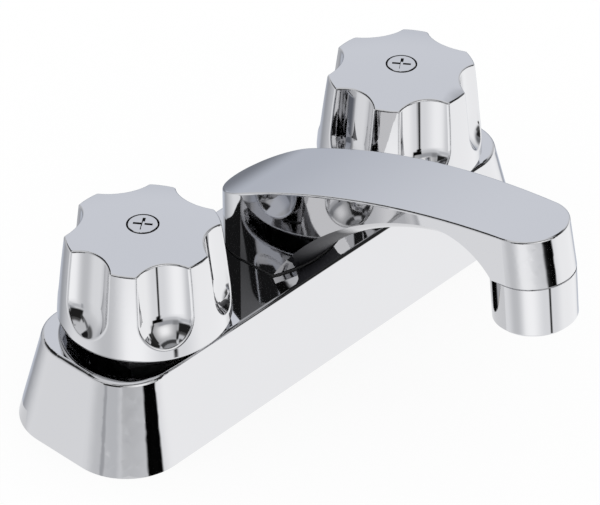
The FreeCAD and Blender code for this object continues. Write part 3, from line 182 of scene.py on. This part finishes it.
# %% [markdown]
# ## The studio in the chrome
#
# Polished chrome has no colour of its own: what the eye sees is the studio. The real set is a
# white sweep with one large soft window beside the lens, and black flags that draw the dark
# lines down every rounded edge. Lamps and cards of real size could stand round the tap, but the
# world can hold the same set as directions, which stays free of noise and needs no geometry.
#
# Each card is a bearing from the lens, plus to the picture's left, and a height above the
# horizon, in degrees.

# %% Studio directions
studio = bpy.data.worlds.new("studio")
scene.world = studio
studio.cycles.sampling_method = "NONE"
world = Finish(studio)

LENS_BEARING = math.atan2(CAMERA_PLACE.x, CAMERA_PLACE.y)
toward_lens = (math.sin(LENS_BEARING), math.cos(LENS_BEARING), 0)
toward_left = (math.cos(LENS_BEARING), -math.sin(LENS_BEARING), 0)
upward = (0, 0, 1)
direction = world.make("TexCoord", output="Generated")


def along(axis):
    sockets = {0: direction, 1: axis}
    return world.make("VectorMath", sockets, output="Value", operation="DOT_PRODUCT")


DEGREES = math.degrees(1)
bearing = along(toward_left).maths("ARCTAN2", along(toward_lens)) * DEGREES
height = along(upward).maths("ARCSINE") * DEGREES
print("bearing of the lens:", round(math.degrees(LENS_BEARING), 1))

# %% Sweep
def grey(level, tint=0.0):
    """A grey as written, with a touch of blue for cool steel light."""
    return (level * (1 - tint), level * (1 - tint * 0.7), level, 1)


# height, brightness, tint
SWEEP = [(-60, 0.74, 0.03), (-30, 0.72, 0.03), (-10, 0.70, 0.03), (0, 0.62, 0.03),
         (20, 0.50, 0.04), (40, 0.55, 0.04), (60, 0.57, 0.03), (90, 0.66, 0.03)]
lowest, highest = SWEEP[0][0], SWEEP[-1][0]
rise_share = world.make("MapRange", {"Value": height, 1: lowest, 2: highest})
light = world.make("ValToRGB", {"Fac": rise_share}, stops=[
    ((level - lowest) / (highest - lowest), grey(brightness, tint))
    for level, brightness, tint in SWEEP
])
print("tones up the sweep:", len(SWEEP))

# %% Cards and flags
# name, bearing, height, (half width, half height), (soft edges), slant, brightness, tint
CARDS = [
    ("bright floor, right", -100, -16, (35, 28), (30, 12), 0, 0.87, 0.01),
    ("bright floor, front", 10, -34, (20, 15), (36, 22), 0, 0.94, 0.01),
    ("floor, left", 50, -20, (15, 26), (26, 14), 0, 0.54, 0.04),
    ("floor, far left", 162, -22, (40, 30), (50, 20), 0, 0.30, 0.10),
    ("front floor haze", -15, -12, (28, 5.5), (26, 7), 0, 0.56, 0.04),
    ("back wall", 180, 35, (26, 42), (14, 20), 0, 0.66, 0.10),
    ("back wall's foot", 180, -20, (34, 28), (14, 36), 0, 0.47, 0.16),
    ("floor's far edge", 180, -19, (34, 10), (14, 5), 0, 0.20, 0.18),
    ("upper left haze", 52, 32, (26, 14), (20, 16), 0, 0.52, 0.03),
    ("upper right haze", -118, 30, (14, 13), (22, 10), 0, 0.15, 0.08),
    ("window surround", -28, 18, (38, 27), (6, 8), 0, 0.36, 0.03),
    ("window", -29, 20, (20, 17), (36, 28), 0, 0.90, 0.0),
    ("low shade", -12, -1.5, (32, 5.5), (14, 6), 0, 0.34, 0.07),
    ("corner shade", 31, -9, (17, 4.5), (12, 5), 0, 0.50, 0.05),
    ("corner line", 42, -11, (3, 6), (4, 6), 0, 0.36, 0.06),
    ("low shade's middle", 3, 0, (7, 6), (8, 6), 0, 0.24, 0.05),
    ("ceiling, front", -40, 64, (60, 5), (20, 6), 0, 0.28, 0.05),
    ("top flag", -29, 53, (38, 6), (6, 7), 0, 0.05, 0.05),
    ("top shade", 28, 50, (9, 6), (6, 6), 0, 0.07, 0.05),
    ("left flag's haze", 26, 28, (20, 5), (8, 8), 0, 0.075, 0.0),
    ("left flag", 29, 13, (17.5, 13), (5, 6), 0, 0.014, 0.0),
    ("left flag's stand", 11, 38, (4.5, 10), (4, 8), 0, 0.02, 0.05),
    ("arm, low", 50, 20, (8, 5), (5, 5), 0.6, 0.04, 0.0),
    ("arm, middle", 66, 25, (14, 3.5), (6, 5), 0.35, 0.15, 0.05),
    ("overhead bar's haze", 104, 26, (26, 6), (12, 8), 0, 0.09, 0.03),
    ("overhead bar, left", 114, 43, (32, 12), (6, 8), 0, 0.012, 0.05),
    ("overhead bar, right", -131, 51, (29, 8), (8, 6), 0, 0.02, 0.05),
    ("far right flag", -88, 34, (20, 15), (8, 6), 0, 0.015, 0.0),
    ("right flag", -71, 24, (7, 17), (4, 5), 0.3, 0.02, 0.0),
    ("right flag's foot", -64, 3.5, (9, 5), (4, 5), -1.44, 0.05, 0.0),
    ("far right flag's foot", -88, 18, (8, 4), (6, 6), 0, 0.08, 0.0),
    ("low flag", -46, -13, (13.5, 4.8), (5, 3), 0.15, 0.001, 0.0),
    ("low flag's wedge", -42.5, -19.5, (6, 4.5), (6, 5), 0, 0.004, 0.0),
    ("low flag's end", -40.5, -26, (2.6, 6), (4, 4), 0, 0.004, 0.0),
]
HALF_TURN = 180


def card_mask(at, level, half_size, edges, slant):
    """1 inside a soft-edged card and 0 outside it."""
    offset = (bearing - at).maths("WRAP", HALF_TURN, -HALF_TURN)
    rise = height - level - offset * slant if slant else height - level
    sides = []
    for distance, half, edge in zip((offset, rise), half_size, edges):
        sockets = {"Value": abs(distance), 1: half - edge / 2, 2: half + edge / 2, 3: 1, 4: 0}
        sides.append(world.make("MapRange", sockets, interpolation_type="SMOOTHSTEP"))
    return sides[0] * sides[1]


for name, at, level, half_size, edges, slant, brightness, tint in CARDS:
    mask = card_mask(at, level, half_size, edges, slant)
    light = world.mix(mask, light, grey(brightness, tint))
print("studio cards:", len(CARDS))

# %% [markdown]
# ## Who sees the studio
#
# The cards are written about as bright as they look in the tap. Chrome gives back less than two
# thirds of what it meets, so mirror rays see them half as bright again. Turning up one lamp
# could do the same, but then the dull pieces would be lit too strongly: the camera and the soft
# light on dull surfaces see plain white instead.

# %% Studio light
STUDIO_STRENGTH = 1.5
PLAIN_WHITE = grey(1.0)

reflected = world.make("LightPath", output="Is Glossy Ray")
refracted = world.make("LightPath", output="Is Transmission Ray")
mirror = reflected.maths("MAXIMUM", refracted)
strong = world.make("VectorMath", {0: light, "Scale": STUDIO_STRENGTH}, output="Vector",
                    operation="SCALE")
seen = world.mix(mirror, PLAIN_WHITE, strong)
background = world.make("Background", {"Color": seen, "Strength": 1.0})
world.make("OutputWorld", {"Surface": background})
print("mirror rays see the cards times", STUDIO_STRENGTH)

# %% [markdown]
# ## The floor
#
# The tap stands on a white sweep with hardly any shadow. A plain white floor would need strong
# lamps to look white, and those would bleach the tap. So the floor is one large square whose
# material is mostly its own white, with a share of real diffuse white so that the foot of the
# tap still grounds itself. From below the floor is clear, so the nuts and shanks under the deck
# can be looked at. Mirror rays pass it by, because the studio above already holds the sweep.

# %% Floor finish
SHADOW_SHARE = 0.12


def new_finish(name):
    material = bpy.data.materials.new(name)
    return material, Finish(material)


white_sweep, sweep_finish = new_finish("white_sweep")
glow = sweep_finish.make("Emission", {"Color": PLAIN_WHITE, "Strength": 1.0})
paint = sweep_finish.make("BsdfDiffuse", {"Color": PLAIN_WHITE})
lit = sweep_finish.make("MixShader", {0: SHADOW_SHARE, 1: glow, 2: paint})
clear = sweep_finish.make("BsdfTransparent")
behind = sweep_finish.make("NewGeometry", output="Backfacing")
either = sweep_finish.make("MixShader", {0: behind, 1: lit, 2: clear})
sweep_finish.make("OutputMaterial", {"Surface": either})
print("share of the floor that takes shadow:", SHADOW_SHARE)

# %% Floor
FLOOR_HALF = 3.0


def new_object(name, builder, look):
    """Closes a mesh that was built, gives it its finish and puts it in the scene."""
    mesh = bpy.data.meshes.new(name)
    builder.to_mesh(mesh)
    builder.free()
    mesh.materials.append(look)
    made = bpy.data.objects.new(name, mesh)
    scene.collection.objects.link(made)
    return made


builder = bmesh.new()
bmesh.ops.create_grid(builder, x_segments=1, y_segments=1, size=FLOOR_HALF)
floor = new_object("floor", builder, white_sweep)
floor.visible_glossy = False
print("floor:", FLOOR_HALF * 2, "m square")

# %% [markdown]
# ## A card below the deck
#
# Since mirror rays pass the floor, the back of the spout's tip would mirror the brass fittings
# under the deck, which a real worktop hides. Four plain white walls stand round the fittings
# from just below the cover. Only mirror rays see them, so the fittings can still be looked at.

# %% Under-deck card
WALL_DEPTH = 0.06
WALL_DROP = 0.0005
WALL_WHITE = grey(0.9, 0.03)

low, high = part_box("base_cover")
builder = bmesh.new()
bmesh.ops.create_cube(builder, size=1.0)
bmesh.ops.scale(builder, verts=builder.verts, vec=(high.x - low.x, high.y - low.y, WALL_DEPTH))
middle = (0, (low.y + high.y) / 2, -WALL_DEPTH / 2 - WALL_DROP)
bmesh.ops.translate(builder, verts=builder.verts, vec=middle)
flat = [face for face in builder.faces if abs(face.normal.z) > 0.5]
bmesh.ops.delete(builder, geom=flat, context="FACES")

card_white, card_finish = new_finish("card_white")
glow = card_finish.make("Emission", {"Color": WALL_WHITE})
card_finish.make("OutputMaterial", {"Surface": glow})
card = new_object("under_deck_card", builder, card_white)
for ray in ("camera", "diffuse", "transmission", "volume_scatter", "shadow"):
    setattr(card, f"visible_{ray}", False)
print("walls below the deck:", len(card.data.polygons))

# %% [markdown]
# ## Polished chrome
#
# Chrome plate is a few microns of metal over polished brass or zinc. It is sharp as a mirror but
# sends back less than two thirds of the light, so a reflection of a reflection turns dark, as
# under the spout. The buffing wheel leaves the surface very slightly uneven, and handling leaves
# patches that are a little less sharp. A low, slow bump gives the first and a noise on roughness
# the second. Both stay small, or the metal would look like foil.

# %% Parts of any finish
def object_place(finish):
    return finish.make("TexCoord", output="Object")


def noise(finish, size, detail=2.0, distortion=0.0):
    """Even noise from 0 to 1 whose patches are about `size` metres across."""
    sockets = {"Vector": object_place(finish), "Scale": 1 / size, "Detail": detail,
               "Distortion": distortion}
    return finish.make("TexNoise", sockets, output="Fac")


def bump(finish, field, depth):
    sockets = {"Height": field, "Distance": depth, "Strength": 1.0}
    return finish.make("Bump", sockets, output="Normal")


def surface(finish, **sockets):
    """The Principled shader and the material's output."""
    named = {name.replace("_", " "): value for name, value in sockets.items()}
    finish.make("OutputMaterial", {"Surface": finish.make("BsdfPrincipled", named)})


def shade(colour, share):
    """That colour made darker or lighter."""
    return (*[channel * share for channel in colour[:3]], 1)


# %% Chrome
CHROME_COLOUR = (0.62, 0.62, 0.63, 1)
CHROME_DEPTH = 0.001
SWELL = 0.002
MIRROR_ROUGHNESS = 0.025


def chrome_parts(finish, colour):
    """Colour, roughness and bump height of a buffed chrome plate."""
    patches = noise(finish, size=0.02, detail=3.0)
    haze = noise(finish, size=0.004)
    tone = finish.mix(patches, shade(colour, 0.985), colour)
    roughness = MIRROR_ROUGHNESS + 0.02 * patches + 0.01 * haze
    return tone, roughness, noise(finish, size=0.04) * SWELL


def make_chrome(name, colour):
    material, finish = new_finish(name)
    tone, roughness, swell = chrome_parts(finish, colour)
    surface(finish, Base_Color=tone, Metallic=1.0, Roughness=roughness,
            Normal=bump(finish, swell, CHROME_DEPTH))
    return material


chrome = make_chrome("polished_chrome", CHROME_COLOUR)
button_chrome = make_chrome("button_chrome", shade(CHROME_COLOUR, 0.97))
print("chrome colour:", CHROME_COLOUR[:3])

# %% [markdown]
# ## The knobs, polished outside, with painted shade inside
#
# A knob is cast in zinc, and only its outside reaches the buffing wheel. Inside, the ribs, the
# boss and the wall are rough, and their colour is painted shade, nearly black, with light upright
# streaks painted in as highlights. Two pieces of mesh could carry the two looks, but one material
# can hold both: it looks at how far a point lies from the knob's axis and whether the surface
# turns towards that axis, and goes over there from mirror to rough metal with painted shade.
# The hole for the index button gets the same painted shade below its polished edge.

# %% Round an upright axis
def round_axis(finish, axis_x):
    """The way out from an upright axis, its length, and the height."""
    place = object_place(finish)
    out = finish.make("VectorMath", {0: place, 1: (axis_x, 0, 0)}, output="Vector",
                      operation="SUBTRACT")
    flat = finish.make("VectorMath", {0: out, 1: (1, 1, 0)}, output="Vector",
                       operation="MULTIPLY")
    reach = finish.make("VectorMath", {0: flat}, output="Value", operation="LENGTH")
    return flat, reach, finish.make("SeparateXYZ", {"Vector": place}, output="Z")


def noise_along(finish, run, detail):
    """Noise that changes only along one number."""
    return finish.make("TexNoise", {"W": run, "Scale": 1.0, "Detail": detail}, output="Fac",
                       noise_dimensions="1D")


STREAKS_PER_RADIAN = 14


def painted_highlight_streaks(finish, flat):
    """Painted highlights: upright streaks, as noise by angle, 1 in a streak and 0 beside it."""
    across = finish.make("SeparateXYZ", {"Vector": flat}, output="X")
    deep = finish.make("SeparateXYZ", {"Vector": flat}, output="Y")
    field = noise_along(finish, deep.maths("ARCTAN2", across) * STREAKS_PER_RADIAN, detail=3.0)
    return finish.make("MapRange", {"Value": field, 1: 0.50, 2: 0.58, 3: 0, 4: 1})


# %% Knob finish
KNOB_AXIS = 0.0508
ROOF = 0.0535
BOSS_REACH = 0.016
WALL_REACH = 0.0215
TURNED_IN = -0.15
BUTTON_HOLE = 0.0046
DOME_TOP = 0.05745
POLISHED_LIP = 0.0002
SKIN_GRAIN = 0.0009
SKIN_HEIGHT = 0.15
# Painted shade for the inside of the knob, and lighter streaks painted in as highlights.
INSIDE_SHADE = (0.03, 0.03, 0.035, 1)
STREAK_HIGHLIGHT = (0.75, 0.75, 0.77, 1)


def raw_shaded_inside(finish, flat, reach, level):
    """1 where the knob is rough with painted shade: inner wall, ribs, boss and button hole; 0
    elsewhere.
    """
    facing = finish.make("TexCoord", output="Normal")
    outward = finish.make("VectorMath", {0: flat, 1: facing}, output="Value",
                          operation="DOT_PRODUCT") / reach
    below_roof = level.maths("LESS_THAN", ROOF)
    turned_in = outward.maths("LESS_THAN", TURNED_IN)
    wall = below_roof * turned_in * reach.maths("LESS_THAN", WALL_REACH)
    core = below_roof * reach.maths("LESS_THAN", BOSS_REACH)
    below_lip = level.maths("LESS_THAN", DOME_TOP - POLISHED_LIP)
    hole = below_lip * reach.maths("LESS_THAN", BUTTON_HOLE)
    return wall.maths("MAXIMUM", core).maths("MAXIMUM", hole)


def make_knob_finish(name, axis_x):
    material, finish = new_finish(name)
    flat, reach, level = round_axis(finish, axis_x)
    inside = raw_shaded_inside(finish, flat, reach, level)
    tone, roughness, swell = chrome_parts(finish, CHROME_COLOUR)
    skin = noise(finish, size=SKIN_GRAIN, detail=4.0)
    # Inside, the colour is painted shade with painted highlight streaks.
    painted_shading = finish.mix(painted_highlight_streaks(finish, flat), INSIDE_SHADE, STREAK_HIGHLIGHT)
    surface(finish, Base_Color=finish.mix(inside, tone, painted_shading), Metallic=1.0,
            Roughness=roughness + inside * (0.45 + 0.1 * skin),
            Normal=bump(finish, swell + inside * skin * SKIN_HEIGHT, CHROME_DEPTH))
    return material


AXES = {"hot": -KNOB_AXIS, "cold": KNOB_AXIS}
knob_finishes = {side: make_knob_finish(f"{side}_knob_chrome", x) for side, x in AXES.items()}
print("knob finishes:", sorted(knob_finishes))

# %% [markdown]
# ## The spout, with painted shade under its root
#
# The underside of the spout near its root is rough, and its colour is painted shade, nearly
# black, which the cover mirrors as a black lens below the arch. A mask painted on the mesh could
# mark it, but two conditions find it just as well: the surface faces down, and it lies behind the
# start of the arch. The painted shade fades in over a few millimetres, along a ragged edge.

# %% Spout finish
ARCH_ROOT = -0.036
SHADE_FADE = 0.0025
FACING_DOWN = -0.55
RAGGED = 0.002
# Painted shade for the underside of the spout's root, with a little grain.
UNDERSIDE_SHADE_DEEP = (0.012, 0.012, 0.014, 1)
UNDERSIDE_SHADE_PALE = (0.04, 0.04, 0.045, 1)


def make_spout_finish(name):
    """Chrome that goes over to rough metal with painted shade where the root of the spout faces
    down.
    """
    material, finish = new_finish(name)
    facing = finish.make("TexCoord", output="Normal")
    rise = finish.make("SeparateXYZ", {"Vector": facing}, output="Z")
    back = finish.make("SeparateXYZ", {"Vector": object_place(finish)}, output="Y")
    ragged = back + (noise(finish, size=0.002, detail=3.0) - 0.5) * RAGGED
    behind_root = finish.make("MapRange", {"Value": ragged, 1: ARCH_ROOT - SHADE_FADE,
                                          2: ARCH_ROOT + SHADE_FADE, 3: 0, 4: 1})
    # The painted shade covers what faces down behind the arch's root.
    below = rise.maths("LESS_THAN", FACING_DOWN) * behind_root
    tone, roughness, swell = chrome_parts(finish, CHROME_COLOUR)
    skin = noise(finish, size=SKIN_GRAIN, detail=4.0)
    painted_shading = finish.mix(skin, UNDERSIDE_SHADE_DEEP, UNDERSIDE_SHADE_PALE)
    surface(finish, Base_Color=finish.mix(below, tone, painted_shading), Metallic=1.0,
            Roughness=roughness + below * (0.35 + 0.1 * skin),
            Normal=bump(finish, swell, CHROME_DEPTH))
    return material


spout_chrome = make_spout_finish("spout_chrome")
print("raw behind, mm:", millimetres(ARCH_ROOT))

# %% [markdown]
# ## Brass, as it was cast and as it was turned
#
# The waterway is one sand casting, left raw: coarse grain, with darker patches where the metal
# cooled last. Shanks and nuts come off a lathe instead, and the tool leaves fine rings, round
# each cylinder and round each end face. Both kinds of ring lie where height plus distance from
# the axis stays the same, so one noise along that sum draws them all.

# %% Cast metal
def make_cast(name, colour):
    material, finish = new_finish(name)
    grain = noise(finish, size=0.0008, detail=5.0)
    patches = noise(finish, size=0.012, detail=3.0)
    tone = finish.mix(patches, shade(colour, 0.6), shade(colour, 1.1))
    surface(finish, Base_Color=tone, Metallic=1.0, Roughness=0.42 + 0.25 * grain,
            Normal=bump(finish, grain, depth=0.00025))
    return material


CAST_BRASS = (0.62, 0.45, 0.20, 1)
cast_brass = make_cast("cast_brass", CAST_BRASS)
print("cast brass:", CAST_BRASS[:3])

# %% Turned metal
BRASS = (0.80, 0.60, 0.30, 1)
NICKEL = (0.30, 0.30, 0.305, 1)
STEEL = (0.60, 0.60, 0.61, 1)
LATHE_AXES = {**AXES, "middle": 0.0}


def make_turned(name, colour, axis_x, pitch=0.00025, roughness=0.16):
    """Metal with fine rings about an upright axis: round its cylinders and its end faces."""
    material, finish = new_finish(name)
    _, reach, level = round_axis(finish, axis_x)
    marks = noise_along(finish, (reach + level) / pitch, detail=2.0)
    tarnish = noise(finish, size=0.006, detail=3.0)
    surface(finish, Base_Color=finish.mix(tarnish, shade(colour, 0.75), colour), Metallic=1.0,
            Roughness=roughness + 0.1 * marks + 0.12 * tarnish,
            Normal=bump(finish, marks, depth=0.00002))
    return material


def turned_set(name, colour, **marks):
    """The same finish about each of the tap's upright axes."""
    return {side: make_turned(f"{side}_{name}", colour, x, **marks)
            for side, x in LATHE_AXES.items()}


turned = turned_set("turned_brass", BRASS)
plated = turned_set("plated_brass", NICKEL, roughness=0.3)
steel = turned_set("stainless_steel", STEEL, pitch=0.0004, roughness=0.24)
print("turned finishes:", len(turned) + len(plated) + len(steel))

# %% [markdown]
# ## Rubber, plastics and ceramic
#
# Rubber is moulded matt, with a pale bloom that comes out of it with age. Nylon takes the fine
# spark-eroded grain of its mould. The valve's discs are ground ceramic, lapped so flat that they
# seal by touching, with faint cloudy patches below the surface. All four are the same recipe
# with other numbers: a grain in the bump and roughness, and a cloud in the colour.

# %% Moulded finishes
RUBBER = (0.022, 0.022, 0.023, 1)
DARK_NYLON = (0.030, 0.030, 0.032, 1)
WHITE_NYLON = (0.80, 0.80, 0.78, 1)
CERAMIC = (0.86, 0.84, 0.80, 1)


def make_moulded(name, colour, roughness, grain_size, grain_depth, bloom=1.35):
    material, finish = new_finish(name)
    grain = noise(finish, grain_size, detail=3.0)
    cloud = noise(finish, size=0.009, detail=3.0, distortion=0.4)
    tone = finish.mix(cloud, shade(colour, 0.85), shade(colour, bloom))
    surface(finish, Base_Color=tone, Metallic=0.0, Roughness=roughness + 0.12 * grain,
            Normal=bump(finish, grain, grain_depth))
    return material


black_rubber = make_moulded("black_rubber", RUBBER, 0.55, 0.0005, 0.00004, bloom=1.8)
black_plastic = make_moulded("black_plastic", DARK_NYLON, 0.36, 0.0003, 0.00003)
white_plastic = make_moulded("white_plastic", WHITE_NYLON, 0.30, 0.0004, 0.00002, bloom=1.03)
ceramic = make_moulded("ceramic", CERAMIC, 0.12, 0.0002, 0.000004, bloom=1.02)
print("darkest and lightest:", RUBBER[:3], CERAMIC[:3])

# %% [markdown]
# ## Each piece gets its finish
#
# The record names a finish for every piece. Turned ones differ by the axis that their rings run
# round, and the knobs and the spout have their own chrome with raw parts.

# %% Dress the pieces
SLOTS = {
    "polished_chrome": chrome,
    "button_chrome": button_chrome,
    "cast_brass": cast_brass,
    "turned_brass": turned,
    "plated_brass": plated,
    "stainless_steel": steel,
    "black_rubber": black_rubber,
    "black_plastic": black_plastic,
    "white_plastic": white_plastic,
    "ceramic": ceramic,
}
PARTLY_RAW = {"spout": spout_chrome}
PARTLY_RAW.update({f"{side}_handle": look for side, look in knob_finishes.items()})
slot_of = {part["node"]: part["material_slot"] for part in frame["record"]["subparts"]}
for name, node in nodes.items():
    side = name.split("_")[0]
    look = PARTLY_RAW.get(name, SLOTS[slot_of[name]])
    if isinstance(look, dict):
        look = look[side if side in look else "middle"]
    node.data.materials.clear()
    node.data.materials.append(look)
print("finished nodes:", len(slot_of))

# %% [markdown]
# ## Index buttons
#
# A small chrome insert hides each knob's screw. It sits in its hole with a gap that reads as a
# dark ring, and a four-armed punch has struck a cross into it. A boolean could cut that cross,
# but the outline of the punch can also be carried down as the tool carries it: the top is filled
# between the rim and the cross, and both outlines are extruded and drawn in or out step by step.
# The walls of the cross and of the ring are painted near black as shade, while
# the floor of the cross is as bright as the top: seen from one side, one arm is bold and the
# other a pair of thin lines. The piece stands for the plainer button of the solids.

# %% Outlines that step down
def step_down(builder, edges, axis, spread, drop):
    """Carries a closed outline on: wider by a share and lower. Returns its edges and walls."""
    made = bmesh.ops.extrude_edge_only(builder, edges=edges)["geom"]
    corners = [part for part in made if isinstance(part, bmesh.types.BMVert)]
    walls = [part for part in made if isinstance(part, bmesh.types.BMFace)]
    space = Matrix.Translation(-axis)
    bmesh.ops.scale(builder, verts=corners, vec=(spread, spread, 1), space=space)
    bmesh.ops.translate(builder, verts=corners, vec=(0, 0, -drop))
    return [edge for edge in builder.edges if all(end in corners for end in edge.verts)], walls


def new_piece(name, builder, look, body):
    """A finished piece that rides on a body of the tap."""
    piece = new_object(name, builder, look)
    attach(piece, body)
    return piece


# %% Cross
ARM_REACH = 0.0026
ARM_HALF = 0.0004
CROSS_TURN = math.radians(35)
ARMS = 4


def cross_corners(axis):
    """The twelve corners of the cross, three for each arm."""
    quarter = [Vector((ARM_REACH, -ARM_HALF, 0)), Vector((ARM_REACH, ARM_HALF, 0)),
               Vector((ARM_HALF, ARM_HALF, 0))]
    turns = [Matrix.Rotation(CROSS_TURN + math.tau / ARMS * arm, 3, "Z") for arm in range(ARMS)]
    return [axis + turn @ corner for turn in turns for corner in quarter]


print("cross, mm across:", millimetres(2 * ARM_REACH))

# %% Buttons
RING_GAP = 0.0002
RIM_SEGMENTS = 72
BUTTON_EDGE = 0.0001
CROSS_DEPTH = 0.0006
CROSS_TAPER = 0.94
# Painted shade on the walls of the cross and of the ring.
RECESS_SHADE = (0.03, 0.03, 0.033, 1)


def add_button(side, axis_x):
    low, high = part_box(f"{side}_index_button")
    axis = Vector((axis_x, 0, high.z))
    radius = (high.x - low.x) / 2 - RING_GAP
    builder = bmesh.new()
    bmesh.ops.create_circle(builder, segments=RIM_SEGMENTS, radius=radius - BUTTON_EDGE,
                            matrix=Matrix.Translation(axis))
    rim = builder.edges[:]
    corners = [builder.verts.new(corner) for corner in cross_corners(axis)]
    cross = [builder.edges.new((corners[i - 1], corners[i])) for i in range(len(corners))]
    bmesh.ops.triangle_fill(builder, edges=rim + cross, use_beauty=True, normal=(0, 0, 1))
    floor_edges, dark = step_down(builder, cross, axis, CROSS_TAPER, CROSS_DEPTH)
    bmesh.ops.contextual_create(builder, geom=floor_edges)
    edge_spread = radius / (radius - BUTTON_EDGE)
    shoulder, _ = step_down(builder, rim, axis, edge_spread, BUTTON_EDGE)
    foot, wall = step_down(builder, shoulder, axis, 1, high.z - low.z - BUTTON_EDGE)
    bmesh.ops.contextual_create(builder, geom=foot)
    bmesh.ops.recalc_face_normals(builder, faces=builder.faces)
    # The walls of the cross and of the ring take the painted shade.
    for face in dark + wall:
        face.material_index = 1
    piece = new_piece(f"{side}_struck_button", builder, button_chrome,
                      f"{side}_knob")
    piece.data.materials.append(recess_shade)
    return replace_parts(piece, f"{side}_index_button")


recess_shade = make_cast("shaded_recess_wall", RECESS_SHADE)
buttons = [add_button(side, x) for side, x in AXES.items()]
print("buttons:", [button.name for button in buttons])

# %% [markdown]
# ## Threads below the deck
#
# The shanks are screwed into the housings from below and carry the wing nuts, so nearly their
# whole length is threaded. A bump on the brass could hint at that, but would leave the outline
# straight. A real thread is one small triangle, turned about the axis while it climbs by a fixed
# step each time, and the spin operator does both at once. Its crests stand just proud of the
# plain shank, and it leaves out the stretch inside washer and nut, where nobody can see it.

# %% One thread
THREAD_PITCH = 0.001814
FLANK_SHARE = 0.42
CREST = 0.0003
STEPS_PER_TURN = 36


def add_thread(name, axis_x, radius, top, bottom, look):
    turns = (top - bottom) / THREAD_PITCH - 1
    steps = round(turns * STEPS_PER_TURN)
    half = THREAD_PITCH * FLANK_SHARE
    middle = bottom + THREAD_PITCH / 2
    builder = bmesh.new()
    profile = [(radius - CREST, half), (radius + CREST, 0), (radius - CREST, -half)]
    corners = [builder.verts.new((axis_x + out, 0, middle + up)) for out, up in profile]
    edges = [builder.edges.new((corners[i], corners[i - 1])) for i in range(3)]
    bmesh.ops.spin(builder, geom=corners + edges, cent=(axis_x, 0, 0), axis=(0, 0, 1),
                   dvec=(0, 0, THREAD_PITCH / STEPS_PER_TURN),
                   angle=steps * math.tau / STEPS_PER_TURN, steps=steps)
    bmesh.ops.holes_fill(builder, edges=builder.edges, sides=3)
    bmesh.ops.recalc_face_normals(builder, faces=builder.faces)
    return new_piece(name, builder, look, "tap_body")


# %% All four threads
UPPER_RADIUS, UPPER_TOP, INTO_WASHER = 0.01045, -0.0015, 0.0005
LOWER_RADIUS, LOWER_TOP, PLAIN_END = 0.01025, -0.0345, 0.001

for side, x in AXES.items():
    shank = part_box(f"{side}_inlet_shank")
    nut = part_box(f"{side}_mounting_nut")
    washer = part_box(f"{side}_mounting_washer")
    upper = add_thread(f"{side}_thread_upper", x, UPPER_RADIUS, UPPER_TOP,
                       washer[1].z - INTO_WASHER, turned[side])
    lower = add_thread(f"{side}_thread_lower", x, LOWER_RADIUS, LOWER_TOP,
                       shank[0].z + PLAIN_END, turned[side])
    print(side, "threads, faces:", len(upper.data.polygons), len(lower.data.polygons),
          "free end below the nut, mm:", millimetres(nut[0].z - shank[0].z))
